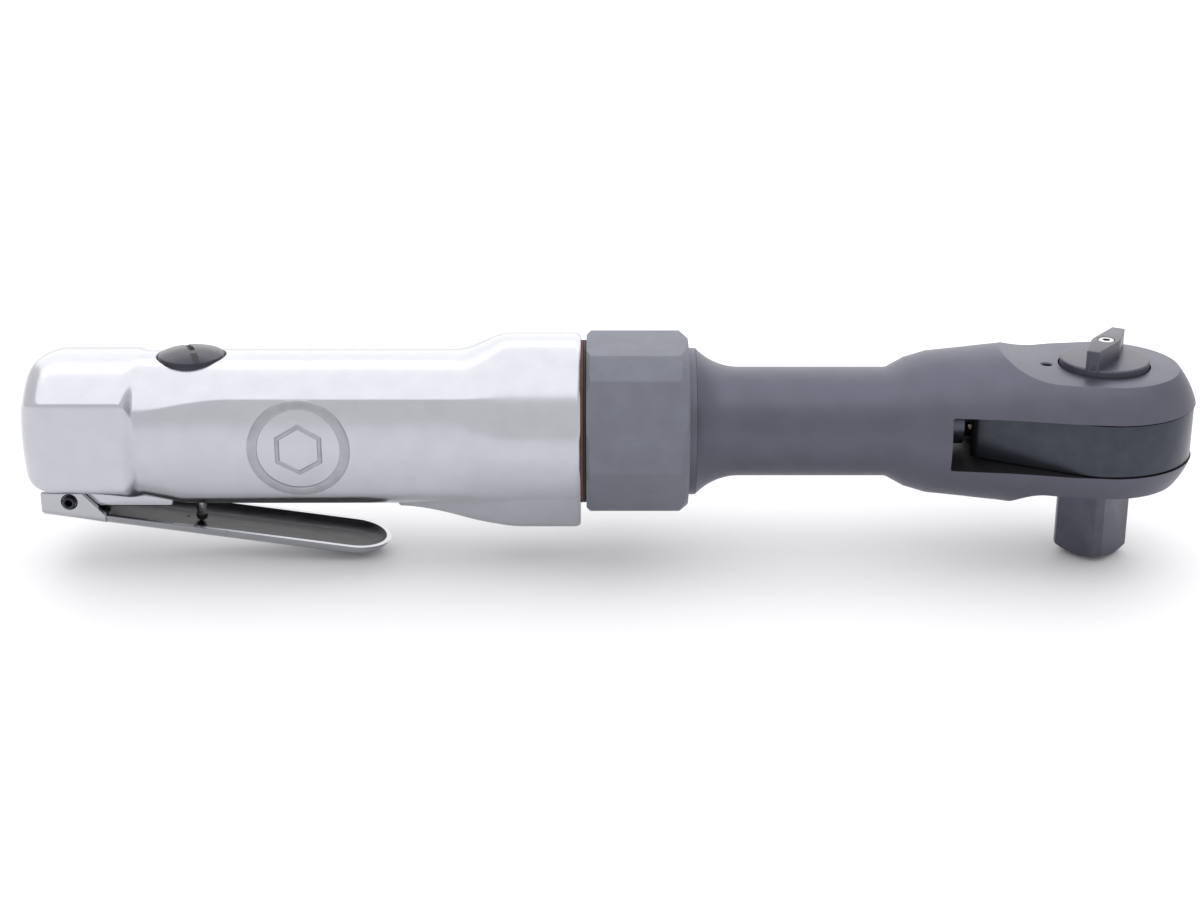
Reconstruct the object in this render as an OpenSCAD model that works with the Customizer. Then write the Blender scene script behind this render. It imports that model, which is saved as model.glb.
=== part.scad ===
// Pneumatic ratchet wrench, 1/2 inch square drive, lever throttle.
// Millimetres. Origin: mouth of the air inlet at the rear face. +X runs along the tool to the head,
// +Z points to the reverse knob side, so the square drive and the throttle lever point to -Z.

/* [Grip] */
// Length of the polished motor housing, rear face to front face
grip_len = 122.7; // [121.5:0.1:124]
// Half width of the grip at its side panels
grip_side = 17.3; // [17:0.1:18]
// Height of the grip's top above the axis
grip_top = 15.8; // [15.5:0.1:16.5]
// Depth of the grip's underside below the axis
grip_bottom = 18.2; // [18:0.1:18.5]
// Half width over the raised pads of the rear block
pad_side = 18.7; // [18.4:0.1:19]
// Radius of the round barrel in front of the shoulder
barrel_r = 20; // [19.8:0.1:20.2]
// Depth of the chin below the axis
chin_depth = 22; // [21.5:0.1:22.5]

/* [Throttle] */
// Distance of the valve axis from the rear face
valve_x = 36; // [35.5:0.1:37]
// Radius of the regulator plug
plug_r = 7.4; // [7.2:0.05:7.5]
// Distance of the lever pin from the rear face
hinge_x = 8.1; // [7.5:0.1:9]
// Depth of the lever pin below the axis
hinge_z = 16.1; // [16:0.1:16.4]
// Half width of the lever
lever_half_w = 8.8; // [8.7:0.1:9.2]
// Length of the lever from its rear edge to its tip
lever_len = 77.5; // [70:0.5:80]
// Slope of the lever at rest, in degrees
lever_slope = 8; // [7.5:0.1:8.5]

/* [Air motor] */
// Radius of the motor bore
motor_r = 12.9; // [12.9:0.05:13]
// Radius of the rotor body
rotor_r = 9.1; // [9:0.05:9.2]
// Offset of the liner bore above the rotor axis
liner_offset = 1.1; // [1:0.05:1.15]
// Number of rotor blades
blade_count = 5; // [5:1:5]

/* [Planetary gear] */
// Gear module
gear_m = 0.6; // [0.6:0.1:0.6]
// Teeth on the rotor pinion and on each planet
small_teeth = 12; // [12:12:12]
// Teeth in the ring gear
ring_teeth = 36; // [36:12:36]

/* [Crank and yoke] */
// Offset of the crank pin from the crankshaft axis
crank_throw = 1.3; // [1:0.1:1.3]
// Radius of the drive bushing on the crank pin
bushing_r = 3.2; // [3:0.1:3.2]
// Number of teeth inside the yoke
yoke_teeth = 64; // [60:2:64]

/* [Clamp nut] */
// Length of the clamp nut
nut_len = 22.6; // [22:0.1:22.8]
// Width across the nut's wide faces
nut_flats = 38.3; // [38:0.1:38.6]

/* [Head] */
// Distance of the drive axis from the rear face
drive_x = 239.4; // [239:0.1:240]
// Radius of the head at the drive axis
head_r = 21; // [20.8:0.1:21.2]
// Length of the head's rounded end, from the drive axis
head_end = 21.5; // [21:0.1:22]
// Radius of the neck
neck_r = 12.25; // [12:0.05:12.5]
// Height of the head's top flat
head_top = 13.5; // [13.4:0.1:14]
// Depth of the head's bottom flat
head_bottom = 12; // [11.9:0.1:12.2]
// Side of the square drive
square_side = 12.7; // [12.7:0.1:12.7]
// Reach of the square drive below the axis
square_reach = 30.6; // [29.5:0.1:31]

/* [Hidden] */

$fn = 64;
fit = 0.05;          // radial clearance of running and static fits
past = 1;            // how far a cutter runs past a face
polish = [0.86, 0.87, 0.9];
steel = [0.72, 0.73, 0.75];
dark_steel = [0.34, 0.34, 0.38];
housing_grey = [0.42, 0.42, 0.47];
nut_grey = [0.58, 0.61, 0.66];
bronze = [0.72, 0.55, 0.32];
rubber_black = [0.08, 0.08, 0.09];
fibre_brown = [0.35, 0.18, 0.15];
gunmetal = [0.25, 0.25, 0.3];

// Grip form
loft_points = 60;    // points round one section of the housing
corner_power = 45;   // higher is a tighter corner between two sides
top_arc_r = 27.2;
side_arc_r = 36;
bottom_arc_r = 21.4;
waist_arc_r = 20.4;  // top and bottom arcs just in front of the rear block
pad_high = 10.6;     // height of the pads' upper edge
pad_low = 9.8;       // depth of the pads' lower edge
block_bottom = 13.8; // underside of the rear block beside the hinge boss
flat_arc_r = 400;    // nearly flat pad face
block_end_x = 22.4;
pad_ramp = 3.2;
shoulder_x = 94;
shoulder_len = 13;
chin_x = 82;
chin_len = 28;
chin_normal = -31.7; // elevation of the chin's side planes, in degrees
chin_flat = 19.8;    // distance of the chin's side planes from the axis
tail_len = 7;        // length over which the rear end rounds off
rear_face_r = 11.8;  // radius of the flat rear face round the inlet
edge_r = 1.2;
boss_half_w = 7.1;
boss_bottom = 17.9;
boss_start_x = 3;
boss_end_x = 31;

// Inlet
inlet_r = 5.6;
inlet_len = 12;
bushing_body_r = 9;
inlet_flange_r = 10.5;
inlet_flange_t = 2.5;
inlet_body_len = 24;
screen_r = 7;
screen_t = 1;
passage_r = 4;
passage_z = 1.5;
screen_hole_r = 0.6;
screen_pitch = 1.9;

// Throttle valve, all on the vertical axis at valve_x
seat_bottom = -4;
seat_top = -1.2;
seat_hole_r = 3.2;
poppet_r = 4.4;
poppet_t = 2.2;
guide_r = 1.8;
guide_top = 3.6;
stem_r = 1.2;
lower_chamber_r = 5;
lower_chamber_z = -11;
seal_r = 3;
seal_t = 2.2;
outlet_r = 3.2;
outlet_z = -7.5;
skirt_r = 5.6;
skirt_bottom = -1;
plug_roof = 8;
plug_dome = 1.5;
slot_w = 1.4;
slot_turn = 20;
slot_past = 1.5;     // how far the slot runs past the plug's centre
slot_deep = 1.6;
oring_z = 12;
oring_r = 0.8;
spring_r = 3.1;
spring_wire = 0.38;
spring_turns = 4;

// Lever
pin_r = 1.45;
pin_bore_r = 0.8;
pin_overhang = 1.1;
cheek_t = 1.4;
lever_t = 1.1;
trough_h = 3;
trough_corner_r = 5;
trough_spread = 0.4;   // how far the trough stands out past the cheeks on each side
edge_x = 15.6;       // where the flange's top edge starts, behind the slanted cheek
edge_z = -19.4;      // height of that edge there
stem_gap = 0.1;
lever_tip_r = 10;     // radius of the lever's rounded tip in plan
lever_tip_len = 8;    // length of the rounded tip; the tool rests on its blunt end
lever_rear_x = 1.8;
cheek_top = -14.2;
pilot_x = 32.6;      // small hole in the lever's floor

// Motor
motor_x = 47.5;      // rear wall of the motor bore
rear_plate_x = 48.4;
liner_x = 56.5;
liner_end = 92;
front_plate_end = 101;
gear_end = 121;
shaft_rear_r = 3.5;
shaft_front_r = 4.5;
liner_bore_r = 10.4;
blade_t = 1.5;
slot_floor_r = 4.6;
blade_tip_r = 9.2;
shaft_rear_end = 49.5;
rear_race_r = 9.5;
front_race_r = 10;
ball_gap = 0.05;

// Planetary
pressure_angle = 25;
flank_trim = 0.05;
pitch_r = gear_m * small_teeth / 2;
centre_dist = 2 * pitch_r;
ring_tip_r = 10.35;
ring_root_r = 11.6;
pinion_start = 101;
pinion_end = 112.4;
planet_start = 104.2;
planet_len = 8;
planet_pin_r = 1.5;
carrier_x = 113;
carrier_t = 4;
carrier_r = 10;

// Joint between the two housings
spigot_r = 17;
spigot_end = 134.4;
seam_r = 18.3;
gasket_t = 0.6;
nut_start = 124;
nut_end = nut_start + nut_len;
nut_wide = 20.5;     // half angle of a wide face
nut_narrow = 9.5;    // half angle of a corner flat
nut_turn = 5.4;      // elevation of one corner flat on the lever's left side
nut_r = nut_flats / 2 / cos(nut_wide);
nut_thread_end = 139;
nut_lip_x = 142;
nut_lip_r = 16.7;
nut_relief_r = 18;
ring_groove_x = 140;
ring_groove_w = 2;
ring_groove_r = 15.2;
ring_out_r = 17.9;
rear_spigot_x = 121.6;
rear_spigot_r = motor_r - fit;
flange_r = 16.5;
flange_end = 148.3;
flare_r = 13.6;
neck_start = flange_end + sqrt(pow(flare_r, 2) - pow(flare_r + neck_r - flange_r, 2));

// Crank
crank_shaft_r = 5;
crank_shaft_end = 208.3;
crank_pin_r = 2;
crank_pin_end = 218.4;
crank_bearing_r = 11;
crank_bearing_x = 122;
crank_bearing_t = 7;
neck_bore_r = 6.5;
crank_bushing_x = 190.2;
crank_bushing_r = 8;
slot_x = 204;
slot_half = 6.17;
drive_bushing_x = 210.2;
drive_bushing_len = 7.6;

// Head and anvil
neck_end = 191;
head_shape = [[195.2, 14.5], [200.1, 15.95], [207.4, 16.7], [212.7, 17.3], [216.2, 17.65], [220, 18.2],
              [225, 19.1], [230, 20.1]];
runout_r = 18.2;
top_flat_x = 226.9;
bottom_flat_x = 226;
bottom_runout_r = 8;
grease_hole_x = 226.6;
grease_hole_r = 1.15;
yoke_r = 19.8;
yoke_end = 20.3;     // reach of the yoke past the drive axis
yoke_half_t = 6;
yoke_tail_x = 209.6;
yoke_tail_half_w = 8;
yoke_tail_r = 2.5;
yoke_root_r = 13.6;
yoke_tip_r = 12.6;
fork_gap = 0.3;       // room for the yoke and the crank to stand at any two angles
fork_half_w = bushing_r + 2 * crank_throw + fork_gap;
fork_end_x = 219.6;
anvil_r = 12.2;
anvil_shoulder = 5.4;
anvil_floor = -10.2;
journal_r = 9;
journal_top = 9.8;
knob_seat_z = 9;
knob_seat_r = 10.2;
groove_low = -11.8;
groove_high = -10.6;
groove_r = 13.1;
collar_r = 8.8;
collar_bottom = -12.4;
square_corner_r = 8.05;
square_tip_r = 6.2;
square_tip_len = 1;
ball_z = -22.5;
ball_r = 1.6;
ball_centre = 5.5;
ball_travel = 0.7;
ball_spring_r = 1.1;

// Pawls and knob
pawl_half_h = 4.3;
pocket_half_h = 4.5;
pocket_half_w = 7.6;
pocket_in = 4.9;
pawl_pin_u = 8.6;
pawl_pin_r = 1.25;
pawl_pin_low = -6.2;
pawl_tilt = 6;
knob_travel = 40;
stem_hole_r = 4.55;
knob_stem_r = 4.5;
knob_stem_bottom = -5.2;
knob_disc_r = 9.85;
knob_disc_top = 15.1;
knob_fin_top = 19.3;
knob_fin_len = 19.5;
knob_fin_end = 1.47;  // half width of the fin at its ends
knob_fin_mid = 3.1;   // half width at its middle
knob_fin_skew = 0.68;
knob_fin_turn = 62;   // angle from +X towards +Y
plunger_r = 1.2;
plunger_in = 2.4;
plunger_tip = 5.5;
knob_screw_r = 1.9;

function clamp01(v) = min(1, max(0, v));
function smooth(v) = let (t = clamp01(v)) t * t * (3 - 2 * t);
function mix(a, b, t) = a + (b - a) * t;
function power_sum(v, p) = len(v) == 1 ? pow(v[0], p)
    : pow(v[0], p) + power_sum([for (i = [1:len(v) - 1]) v[i]], p);
// Radius of an arc with its crown at height crown that passes an edge at height edge and half width half
function arc_through(crown, edge, half) = (half * half + pow(crown - edge, 2)) / 2 / (crown - edge);
// Smallest of several reaches, with the corner between them rounded
function soft_min(v, p) = pow(power_sum(v, -p), -1 / p);
// Reach from the axis to an arc whose crown stands off by crown
function arc_reach(crown, radius, along, across) =
    let (c = crown - radius) c * along + sqrt(radius * radius - c * c * across * across);
function arc_points(cx, cy, r, a0, a1, n) =
    [for (i = [0:n]) let (a = mix(a0, a1, i / n)) [cx + r * cos(a), cy + r * sin(a)]];

// ---- grip section ----
function pad_share(x) = 1 - smooth((x - block_end_x) / pad_ramp);
function block_share(x) = 1 - clamp01((x - 10) / 24);
function waist(x, full) = mix(waist_arc_r, full, smooth((x - 25) / 22));
function chin_share(x) = smooth((x - chin_x) / chin_len);
function grip_depth(x) = mix(grip_bottom, block_bottom, block_share(x));
function grip_reach(x, c, s) = soft_min([
    arc_reach(mix(grip_side, pad_side, pad_share(x)), mix(side_arc_r, flat_arc_r, pad_share(x)), abs(c), s),
    arc_reach(grip_top,
              mix(waist(x, top_arc_r), arc_through(grip_top, pad_high, pad_side), pad_share(x)), s, c),
    arc_reach(grip_depth(x), mix(waist(x, bottom_arc_r), arc_through(grip_depth(x), pad_low, pad_side),
                                 pad_share(x)), -s, c)], corner_power);
// The chin's flat underside and slanted sides; at chin_x they start just inside the grip
function chin_reach(x, c, s) = x < chin_x || s > sin(chin_normal) ? 0
    : soft_min([mix(grip_bottom - 0.8, chin_depth, chin_share(x)) / -s,
                mix(chin_flat - 3.6, chin_flat, chin_share(x))
                / (cos(chin_normal) * abs(c) + sin(chin_normal) * s)], corner_power);
function tail_share(x) = x >= tail_len ? 1 : sqrt(1 - pow((tail_len - x) / tail_len, 2));
function front_cut(x) = max(0, edge_r - (grip_len - x)) * 0.5;
function housing_reach(x, a) =
    let (c = cos(a), s = sin(a),
         body = mix(grip_reach(x, c, s), barrel_r, smooth((x - shoulder_x) / shoulder_len)))
    mix(rear_face_r, max(body, chin_reach(x, c, s)), tail_share(x)) - front_cut(x);
stations = [0, 0.2, 0.7, 1.6, 3, 4.8, 7, 12, 17, 22, 23.2, 24.4, 25.6, 29, 33, 38, 46, 60, 80, 82, 86,
            90, 94, 97, 99, 100.5, 102, 104, 107, 110, 117, grip_len - edge_r, grip_len];

module motor_housing_form() {
    rings = len(stations);
    side_faces = [for (i = [0:rings - 2], j = [0:loft_points - 1])
        let (a = i * loft_points, b = a + loft_points, k = (j + 1) % loft_points)
        [a + j, b + j, b + k, a + k]];
    polyhedron(
        points = [for (x = stations, j = [0:loft_points - 1])
            let (a = 360 * j / loft_points, r = housing_reach(x, a)) [x, r * cos(a), r * sin(a)]],
        faces = concat(side_faces, [[for (j = [0:loft_points - 1]) j]],
            [[for (j = [loft_points - 1:-1:0]) (rings - 1) * loft_points + j]]));
}

// A cylinder along +X, from x0 to x1
module rod_x(x0, x1, r) { translate([x0, 0, 0]) rotate([0, 90, 0]) cylinder(h = x1 - x0, r = r); }
// A cylinder along +Z, from z0 to z1
module rod_z(z0, z1, r) { translate([0, 0, z0]) cylinder(h = z1 - z0, r = r); }
// A ring along +X
module ring_x(x0, x1, r_out, r_in) {
    difference() {
        rod_x(x0, x1, r_out);
        rod_x(x0 - past, x1 + past, r_in);
    }
}
// A ring along +Z
module ring_z(z0, z1, r_out, r_in) {
    difference() {
        rod_z(z0, z1, r_out);
        rod_z(z0 - past, z1 + past, r_in);
    }
}
// A polygon of [x, r] points turned about the X axis
module turn_x(points) { rotate([0, 90, 0]) rotate_extrude() polygon([for (p = points) [p[1], p[0]]]); }
module at_drive() { translate([drive_x, 0, 0]) children(); }
module at_valve() { translate([valve_x, 0, 0]) children(); }

// A coil of round wire about +Z: eight sides, sixteen steps a turn
module coil(r, wire, height, turns) {
    sides = 8;
    steps = 16 * turns;
    ring = [for (i = [0:steps], j = [0:sides - 1])
        let (a = 360 * turns * i / steps, b = 360 * j / sides, q = r + wire * cos(b))
        [q * cos(a), q * sin(a), wire + (height - 2 * wire) * i / steps + wire * sin(b)]];
    polyhedron(points = ring, faces = concat(
        [for (i = [0:steps - 1], j = [0:sides - 1])
            let (a = i * sides, b = a + sides, k = (j + 1) % sides) [a + j, a + k, b + k, b + j]],
        [[for (j = [sides - 1:-1:0]) j]],
        [[for (j = [0:sides - 1]) steps * sides + j]]));
}

// A ball bearing along X: two races and a ring of balls, as separate solids
module ball_bearing(x0, width, r_out, r_in, wall, balls) {
    mid = (r_out + r_in) / 2;
    ball = (r_out - r_in) / 2 - wall - ball_gap;
    ring_x(x0, x0 + width, r_out, r_out - wall);
    ring_x(x0, x0 + width, r_in + wall, r_in);
    for (i = [0:balls - 1])
        rotate([360 * i / balls, 0, 0]) translate([x0 + width / 2, 0, mid]) sphere(r = ball, $fn = 24);
}

// ---- gears ----
function involute(a) = tan(a) * 180 / PI - a;
function half_tooth(r, teeth, trim) =
    let (rp = gear_m * teeth / 2, rb = rp * cos(pressure_angle), a = r > rb ? acos(rb / r) : 0)
    90 / teeth + involute(pressure_angle) - involute(a) - trim / rp * 180 / PI;
function gear_outline(teeth, root, tip, trim) =
    let (levels = [root, mix(root, tip, 0.35), mix(root, tip, 0.6), mix(root, tip, 0.8), tip])
    [for (i = [0:teeth - 1], side = [-1, 1], k = [0:4])
        let (r = levels[side < 0 ? k : 4 - k], a = 360 * i / teeth + side * half_tooth(r, teeth, trim))
        [r * cos(a), r * sin(a)]];

function pinion_outline() =
    gear_outline(small_teeth, pitch_r - 1.25 * gear_m, pitch_r + gear_m, flank_trim);

// ---- air inlet and throttle ----
module inlet_bushing() {
    color(steel) difference() {
        union() {
            rod_x(0, inlet_flange_t, inlet_flange_r);
            rod_x(0, inlet_body_len, bushing_body_r);
        }
        rod_x(-past, inlet_len, inlet_r);
        rod_x(-past, inlet_body_len + past, inlet_r - 1);
        rod_x(inlet_body_len - 2 * screen_t, inlet_body_len + past, screen_r + fit);
    }
}

module inlet_screen() {
    color(bronze) difference() {
        rod_x(inlet_body_len - 2 * screen_t, inlet_body_len - screen_t, screen_r);
        for (i = [0:6], ring = [1:2])
            rotate([i * 360 / 7 * ring, 0, 0]) translate([0, 0, ring * screen_pitch])
                rod_x(0, inlet_body_len, screen_hole_r);
    }
}

module throttle_seat() {
    color(bronze) at_valve() ring_z(seat_bottom, seat_top, plug_r, seat_hole_r);
}

module throttle_valve() {
    color(steel) at_valve() {
        rod_z(seat_top + fit, seat_top + poppet_t, poppet_r);
        rod_z(seat_top + poppet_t - 0.1, guide_top, guide_r);
    }
}

module throttle_spring() {
    low = seat_top + poppet_t + fit;
    color(steel) at_valve() translate([0, 0, low])
        coil(spring_r, spring_wire, plug_roof - fit - low, spring_turns);
}

function edge_height(x) = edge_z - (x - edge_x) * tan(lever_slope);
floor_at_stem = edge_height(valve_x) - (trough_h - lever_t) / cos(lever_slope);
stem_ball_z = floor_at_stem + (stem_r + stem_gap) / cos(lever_slope);

module valve_stem() {
    color(steel) translate([valve_x, 0, 0]) {
        rod_z(stem_ball_z, seat_top, stem_r);
        translate([0, 0, stem_ball_z]) sphere(r = stem_r, $fn = 32);
    }
}

module stem_seal() {
    color(rubber_black) at_valve()
        ring_z(lower_chamber_z - seal_t, lower_chamber_z - fit, seal_r, stem_r + 0.07);
}

module regulator_plug() {
    dome_r = (plug_r * plug_r + plug_dome * plug_dome) / 2 / plug_dome;
    dome = arc_points(0, grip_top + plug_dome - dome_r, dome_r, 90 - asin(plug_r / dome_r), 90, 8);
    color(gunmetal) at_valve() difference() {
        rotate_extrude() polygon(concat([[0, skirt_bottom], [plug_r, skirt_bottom]], dome));
        rod_z(skirt_bottom - past, plug_roof, skirt_r);
        rod_z(skirt_bottom, plug_roof + 2.5, guide_r + 0.4);
        translate([-plug_r - past, -passage_r, skirt_bottom - past])
            cube([plug_r, 2 * passage_r, passage_z + passage_r - skirt_bottom + past]);
        rod_groove(oring_z, plug_r + past, plug_r - 2 * oring_r);
        rotate(slot_turn) translate([-slot_w / 2, -slot_past, grip_top + plug_dome - slot_deep])
            cube([slot_w, plug_r + slot_past + past, 5]);
    }
}
// A square groove round Z for a sealing ring
module rod_groove(z, r_out, r_in) { ring_z(z - oring_r, z + oring_r, r_out, r_in); }

module regulator_seal() {
    color(rubber_black) at_valve() translate([0, 0, oring_z]) rotate_extrude()
        translate([plug_r - oring_r, 0]) circle(r = oring_r - 0.03, $fn = 24);
}

module lever_pin() {
    half = lever_half_w + pin_overhang;
    color(dark_steel) translate([hinge_x, half, -hinge_z]) rotate([90, 0, 0]) difference() {
        cylinder(h = 2 * half, r = pin_r);
        translate([0, 0, -past]) cylinder(h = 2 * (half + past), r = pin_bore_r);
    }
}

// Section of the pressed trough, outer or inner, open side up; y across, z from its top edge
module trough_section(inset) {
    r = trough_corner_r - inset;
    corner_y = lever_half_w + trough_spread - trough_corner_r;
    intersection() {
        union() {
            for (side = [-1, 1])
                translate([side * corner_y, -trough_h + trough_corner_r]) circle(r = r);
            translate([-corner_y, -trough_h + inset]) square([2 * corner_y, 2 * trough_corner_r]);
        }
        translate([-20, -20]) square([40, inset > 0 ? 20 + past : 20]);
    }
}

module throttle_lever() {
    tip_x = lever_rear_x + lever_len;
    start = 9;
    color(polish) {
        difference() {
            union() {
                // pressed trough along the sloping part
                intersection() {
                    translate([edge_x, 0, edge_z]) rotate([0, lever_slope, 0]) difference() {
                        translate([-edge_x, 0, 0]) rotate([90, 0, 90]) linear_extrude(100) trough_section(0);
                        translate([-edge_x - past, 0, 0]) rotate([90, 0, 90]) linear_extrude(102)
                            trough_section(lever_t);
                    }
                    translate([0, 0, -50]) linear_extrude(60) union() {
                        translate([start, -lever_tip_r])
                            square([tip_x - lever_tip_len - start, 2 * lever_tip_r]);
                        translate([tip_x - lever_tip_len, 0]) intersection() {
                            circle(r = lever_tip_r);
                            translate([-past, -lever_tip_r])
                                square([lever_tip_len + past, 2 * lever_tip_r]);
                        }
                    }
                }
                // flat floor and upright cheeks at the hinge
                hinge_end();
            }
            translate([hinge_x, 20, -hinge_z]) rotate([90, 0, 0]) cylinder(h = 40, r = pin_r + fit);
            translate([pilot_x, 1.3, -40]) cylinder(h = 30, r = 0.4);
        }
    }
}
// Rear end of the lever: two cheeks joined by the floor
module hinge_end() {
    low = edge_height(lever_rear_x) - trough_h + 0.4;
    for (side = [0, 1])
        mirror([0, side, 0]) translate([0, lever_half_w, 0]) rotate([90, 0, 0]) linear_extrude(cheek_t)
            polygon([[lever_rear_x, cheek_top], [11, cheek_top], [edge_x + 0.3, edge_height(edge_x)],
                     [edge_x + 0.3, edge_height(edge_x) - 1.6],
                     [lever_rear_x, edge_height(lever_rear_x) - 1.6]]);
    translate([0, lever_half_w, 0]) rotate([90, 0, 0]) linear_extrude(2 * lever_half_w)
        polygon([[lever_rear_x, edge_height(lever_rear_x) - 0.5], [edge_x + 0.3, edge_height(edge_x) - 0.9],
                 [edge_x + 0.3, edge_height(edge_x) - 2],
                 [lever_rear_x, edge_height(lever_rear_x) - 1.6]]);
}

// ---- motor housing ----
module motor_housing() {
    color(polish) difference() {
        union() {
            motor_housing_form();
            rod_x(grip_len - past, spigot_end, spigot_r);
            translate([boss_start_x, -boss_half_w, -boss_bottom])
                cube([boss_end_x - boss_start_x, 2 * boss_half_w, boss_bottom]);
        }
        rod_x(-past, inlet_flange_t, inlet_flange_r + fit);
        rod_x(-past, inlet_body_len, bushing_body_r + fit);
        translate([0, 0, passage_z]) rod_x(inlet_body_len - past, valve_x - plug_r + past, passage_r);
        at_valve() {
            rod_z(seat_bottom, grip_top + 5, plug_r + fit);
            rod_z(lower_chamber_z, 0, lower_chamber_r);
            rod_z(lower_chamber_z - seal_t, 0, seal_r + fit);
            rod_z(-25, 0, stem_r + fit);
        }
        translate([0, 0, outlet_z]) rod_x(valve_x, motor_x + past, outlet_r);
        rod_x(motor_x, spigot_end + past, motor_r);
        translate([hinge_x, 20, -hinge_z]) rotate([90, 0, 0]) cylinder(h = 40, r = pin_r + 0.02);
        exhaust_cuts();
    }
}
// Exhaust: a channel under the motor and three slots in the chin
module exhaust_cuts() {
    translate([0, 0, -13.4]) rod_x(66, 118, 3);
    for (y = [-5, 0, 5])
        translate([107, y - 0.9, -30]) cube([9, 1.8, 16]);
}

// ---- air motor ----
module rear_end_plate() {
    color(steel) difference() {
        rod_x(rear_plate_x, liner_x - fit, motor_r - fit);
        rod_x(rear_plate_x - past, liner_x - 2, rear_race_r + fit);
        rod_x(rear_plate_x - past, liner_x + past, shaft_rear_r + 0.5);
        for (a = [140, 160, 200, 220])
            rotate([a, 0, 0]) translate([0, 0, 11.2]) rod_x(rear_plate_x - past, liner_x + past, 0.9);
        rotate([180, 0, 0]) translate([0, 0, 11.2]) rod_x(50.5, liner_x + past, 0.9);
    }
}

module rear_bearing() {
    color(steel) ball_bearing(rear_plate_x + 0.4, liner_x - 2.1 - rear_plate_x - 0.4, rear_race_r,
                              shaft_rear_r + 0.03, 1.8, 8);
}

module cylinder_liner() {
    color(steel) difference() {
        rod_x(liner_x, liner_end, motor_r - fit);
        translate([0, 0, liner_offset]) rod_x(liner_x - past, liner_end + past, liner_bore_r);
        rotate([180, 0, 0]) translate([0, 0, 11.2]) rod_x(liner_x - past, 60, 0.9);
        for (x = [68, 72, 76, 80])
            translate([x, 0, 0]) rotate([160, 0, 0]) cylinder(h = 20, r = 1.4);
        for (x = [62, 66])
            translate([x, 0, 0]) rotate([220, 0, 0]) cylinder(h = 20, r = 1.4);
    }
}

module cylinder_dowel() {
    color(steel) rotate([180, 0, 0]) translate([0, 0, 11.2]) rod_x(50.6, 59.9, 0.85);
}

module rotor() {
    color(dark_steel) difference() {
        union() {
            rod_x(liner_x + 0.2, liner_end - 0.2, rotor_r);
            rod_x(shaft_rear_end, liner_x + past, shaft_rear_r);
            rod_x(liner_end - past, pinion_start, shaft_front_r);
            translate([pinion_start - 0.1, 0, 0]) rotate([0, 90, 0])
                linear_extrude(pinion_end - pinion_start + 0.1)
                    polygon(pinion_outline());
        }
        for (i = [0:blade_count - 1])
            rotate([360 * i / blade_count, 0, 0])
                translate([liner_x - past, -blade_t / 2 - fit, slot_floor_r])
                    cube([liner_end - liner_x + 2 * past, blade_t + 2 * fit, rotor_r]);
    }
}

module rotor_blade(i) {
    color([0.45, 0.3, 0.2]) rotate([360 * i / blade_count, 0, 0])
        translate([liner_x + 0.25, -blade_t / 2, slot_floor_r + 0.1])
            cube([liner_end - liner_x - 0.5, blade_t, blade_tip_r - slot_floor_r - 0.1]);
}

module front_end_plate() {
    color(steel) difference() {
        rod_x(liner_end, front_plate_end, motor_r - fit);
        rod_x(liner_end - past, front_plate_end + past, shaft_front_r + 0.5);
        rod_x(liner_end + 2, front_plate_end + past, front_race_r + fit);
    }
}

module front_bearing() {
    color(steel) ball_bearing(liner_end + 2.1, front_plate_end - liner_end - 2.5, front_race_r,
                              shaft_front_r + 0.03, 1.5, 9);
}

// ---- planetary gear ----
module ring_gear() {
    color(dark_steel) rotate([0, 90, 0]) translate([0, 0, front_plate_end + 0.1])
        linear_extrude(gear_end - front_plate_end - 0.2) difference() {
            circle(r = motor_r - fit);
            rotate(180 / ring_teeth) polygon(gear_outline(ring_teeth, ring_tip_r, ring_root_r, -flank_trim));
        }
}

module planet_gear(i) {
    color(steel) rotate([120 * i, 0, 0]) translate([planet_start, 0, 0]) rotate([0, 90, 0])
        linear_extrude(planet_len) translate([centre_dist, 0]) difference() {
            rotate(180 / small_teeth) polygon(pinion_outline());
            circle(r = planet_pin_r + fit);
        }
}

module planet_pins() {
    color(steel) for (i = [0:2])
        rotate([120 * i, 0, 0]) translate([0, 0, -centre_dist])
            rod_x(planet_start - 0.6, carrier_x + carrier_t, planet_pin_r);
}

module crankshaft() {
    color(dark_steel) difference() {
        union() {
            rod_x(carrier_x, carrier_x + carrier_t, carrier_r);
            rod_x(carrier_x, crank_shaft_end, crank_shaft_r);
            translate([0, 0, crank_throw]) rod_x(crank_shaft_end - past, crank_pin_end, crank_pin_r);
        }
        for (i = [0:2])
            rotate([120 * i, 0, 0]) translate([0, 0, -centre_dist])
                rod_x(carrier_x - past, carrier_x + carrier_t + past, planet_pin_r);
    }
}

// ---- joint between the housings ----
module joint_gasket() { color(fibre_brown) ring_x(grip_len, grip_len + gasket_t, seam_r, spigot_r + fit); }
module spacer_ring() {
    color(rubber_black) ring_x(grip_len + gasket_t, nut_start - fit, seam_r, spigot_r + fit);
}

module clamp_nut() {
    corner = nut_r + past;
    color(nut_grey) difference() {
        intersection() {
            translate([nut_start, 0, 0]) rotate([0, 90, 0]) linear_extrude(nut_len)
                polygon([for (k = [0:5], side = [-1, 1])
                    let (a = 60 * k + nut_turn + side * nut_narrow) [nut_r * sin(a), -nut_r * cos(a)]]);
            turn_x([[nut_start, 0], [nut_start, nut_r - 1], [nut_start + 2, corner], [nut_end - 3.2, corner],
                    [nut_end, nut_r - 1.7], [nut_end, 0]]);
        }
        rod_x(nut_start - past, nut_thread_end, spigot_r + 0.1);
        rod_x(nut_thread_end, nut_lip_x, nut_relief_r);
        rod_x(nut_start, nut_end + past, nut_lip_r);
    }
}

module nut_retaining_ring() {
    color(dark_steel) ring_x(ring_groove_x + 0.1, nut_lip_x - 2 * fit, ring_out_r, ring_groove_r + 0.1);
}

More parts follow.
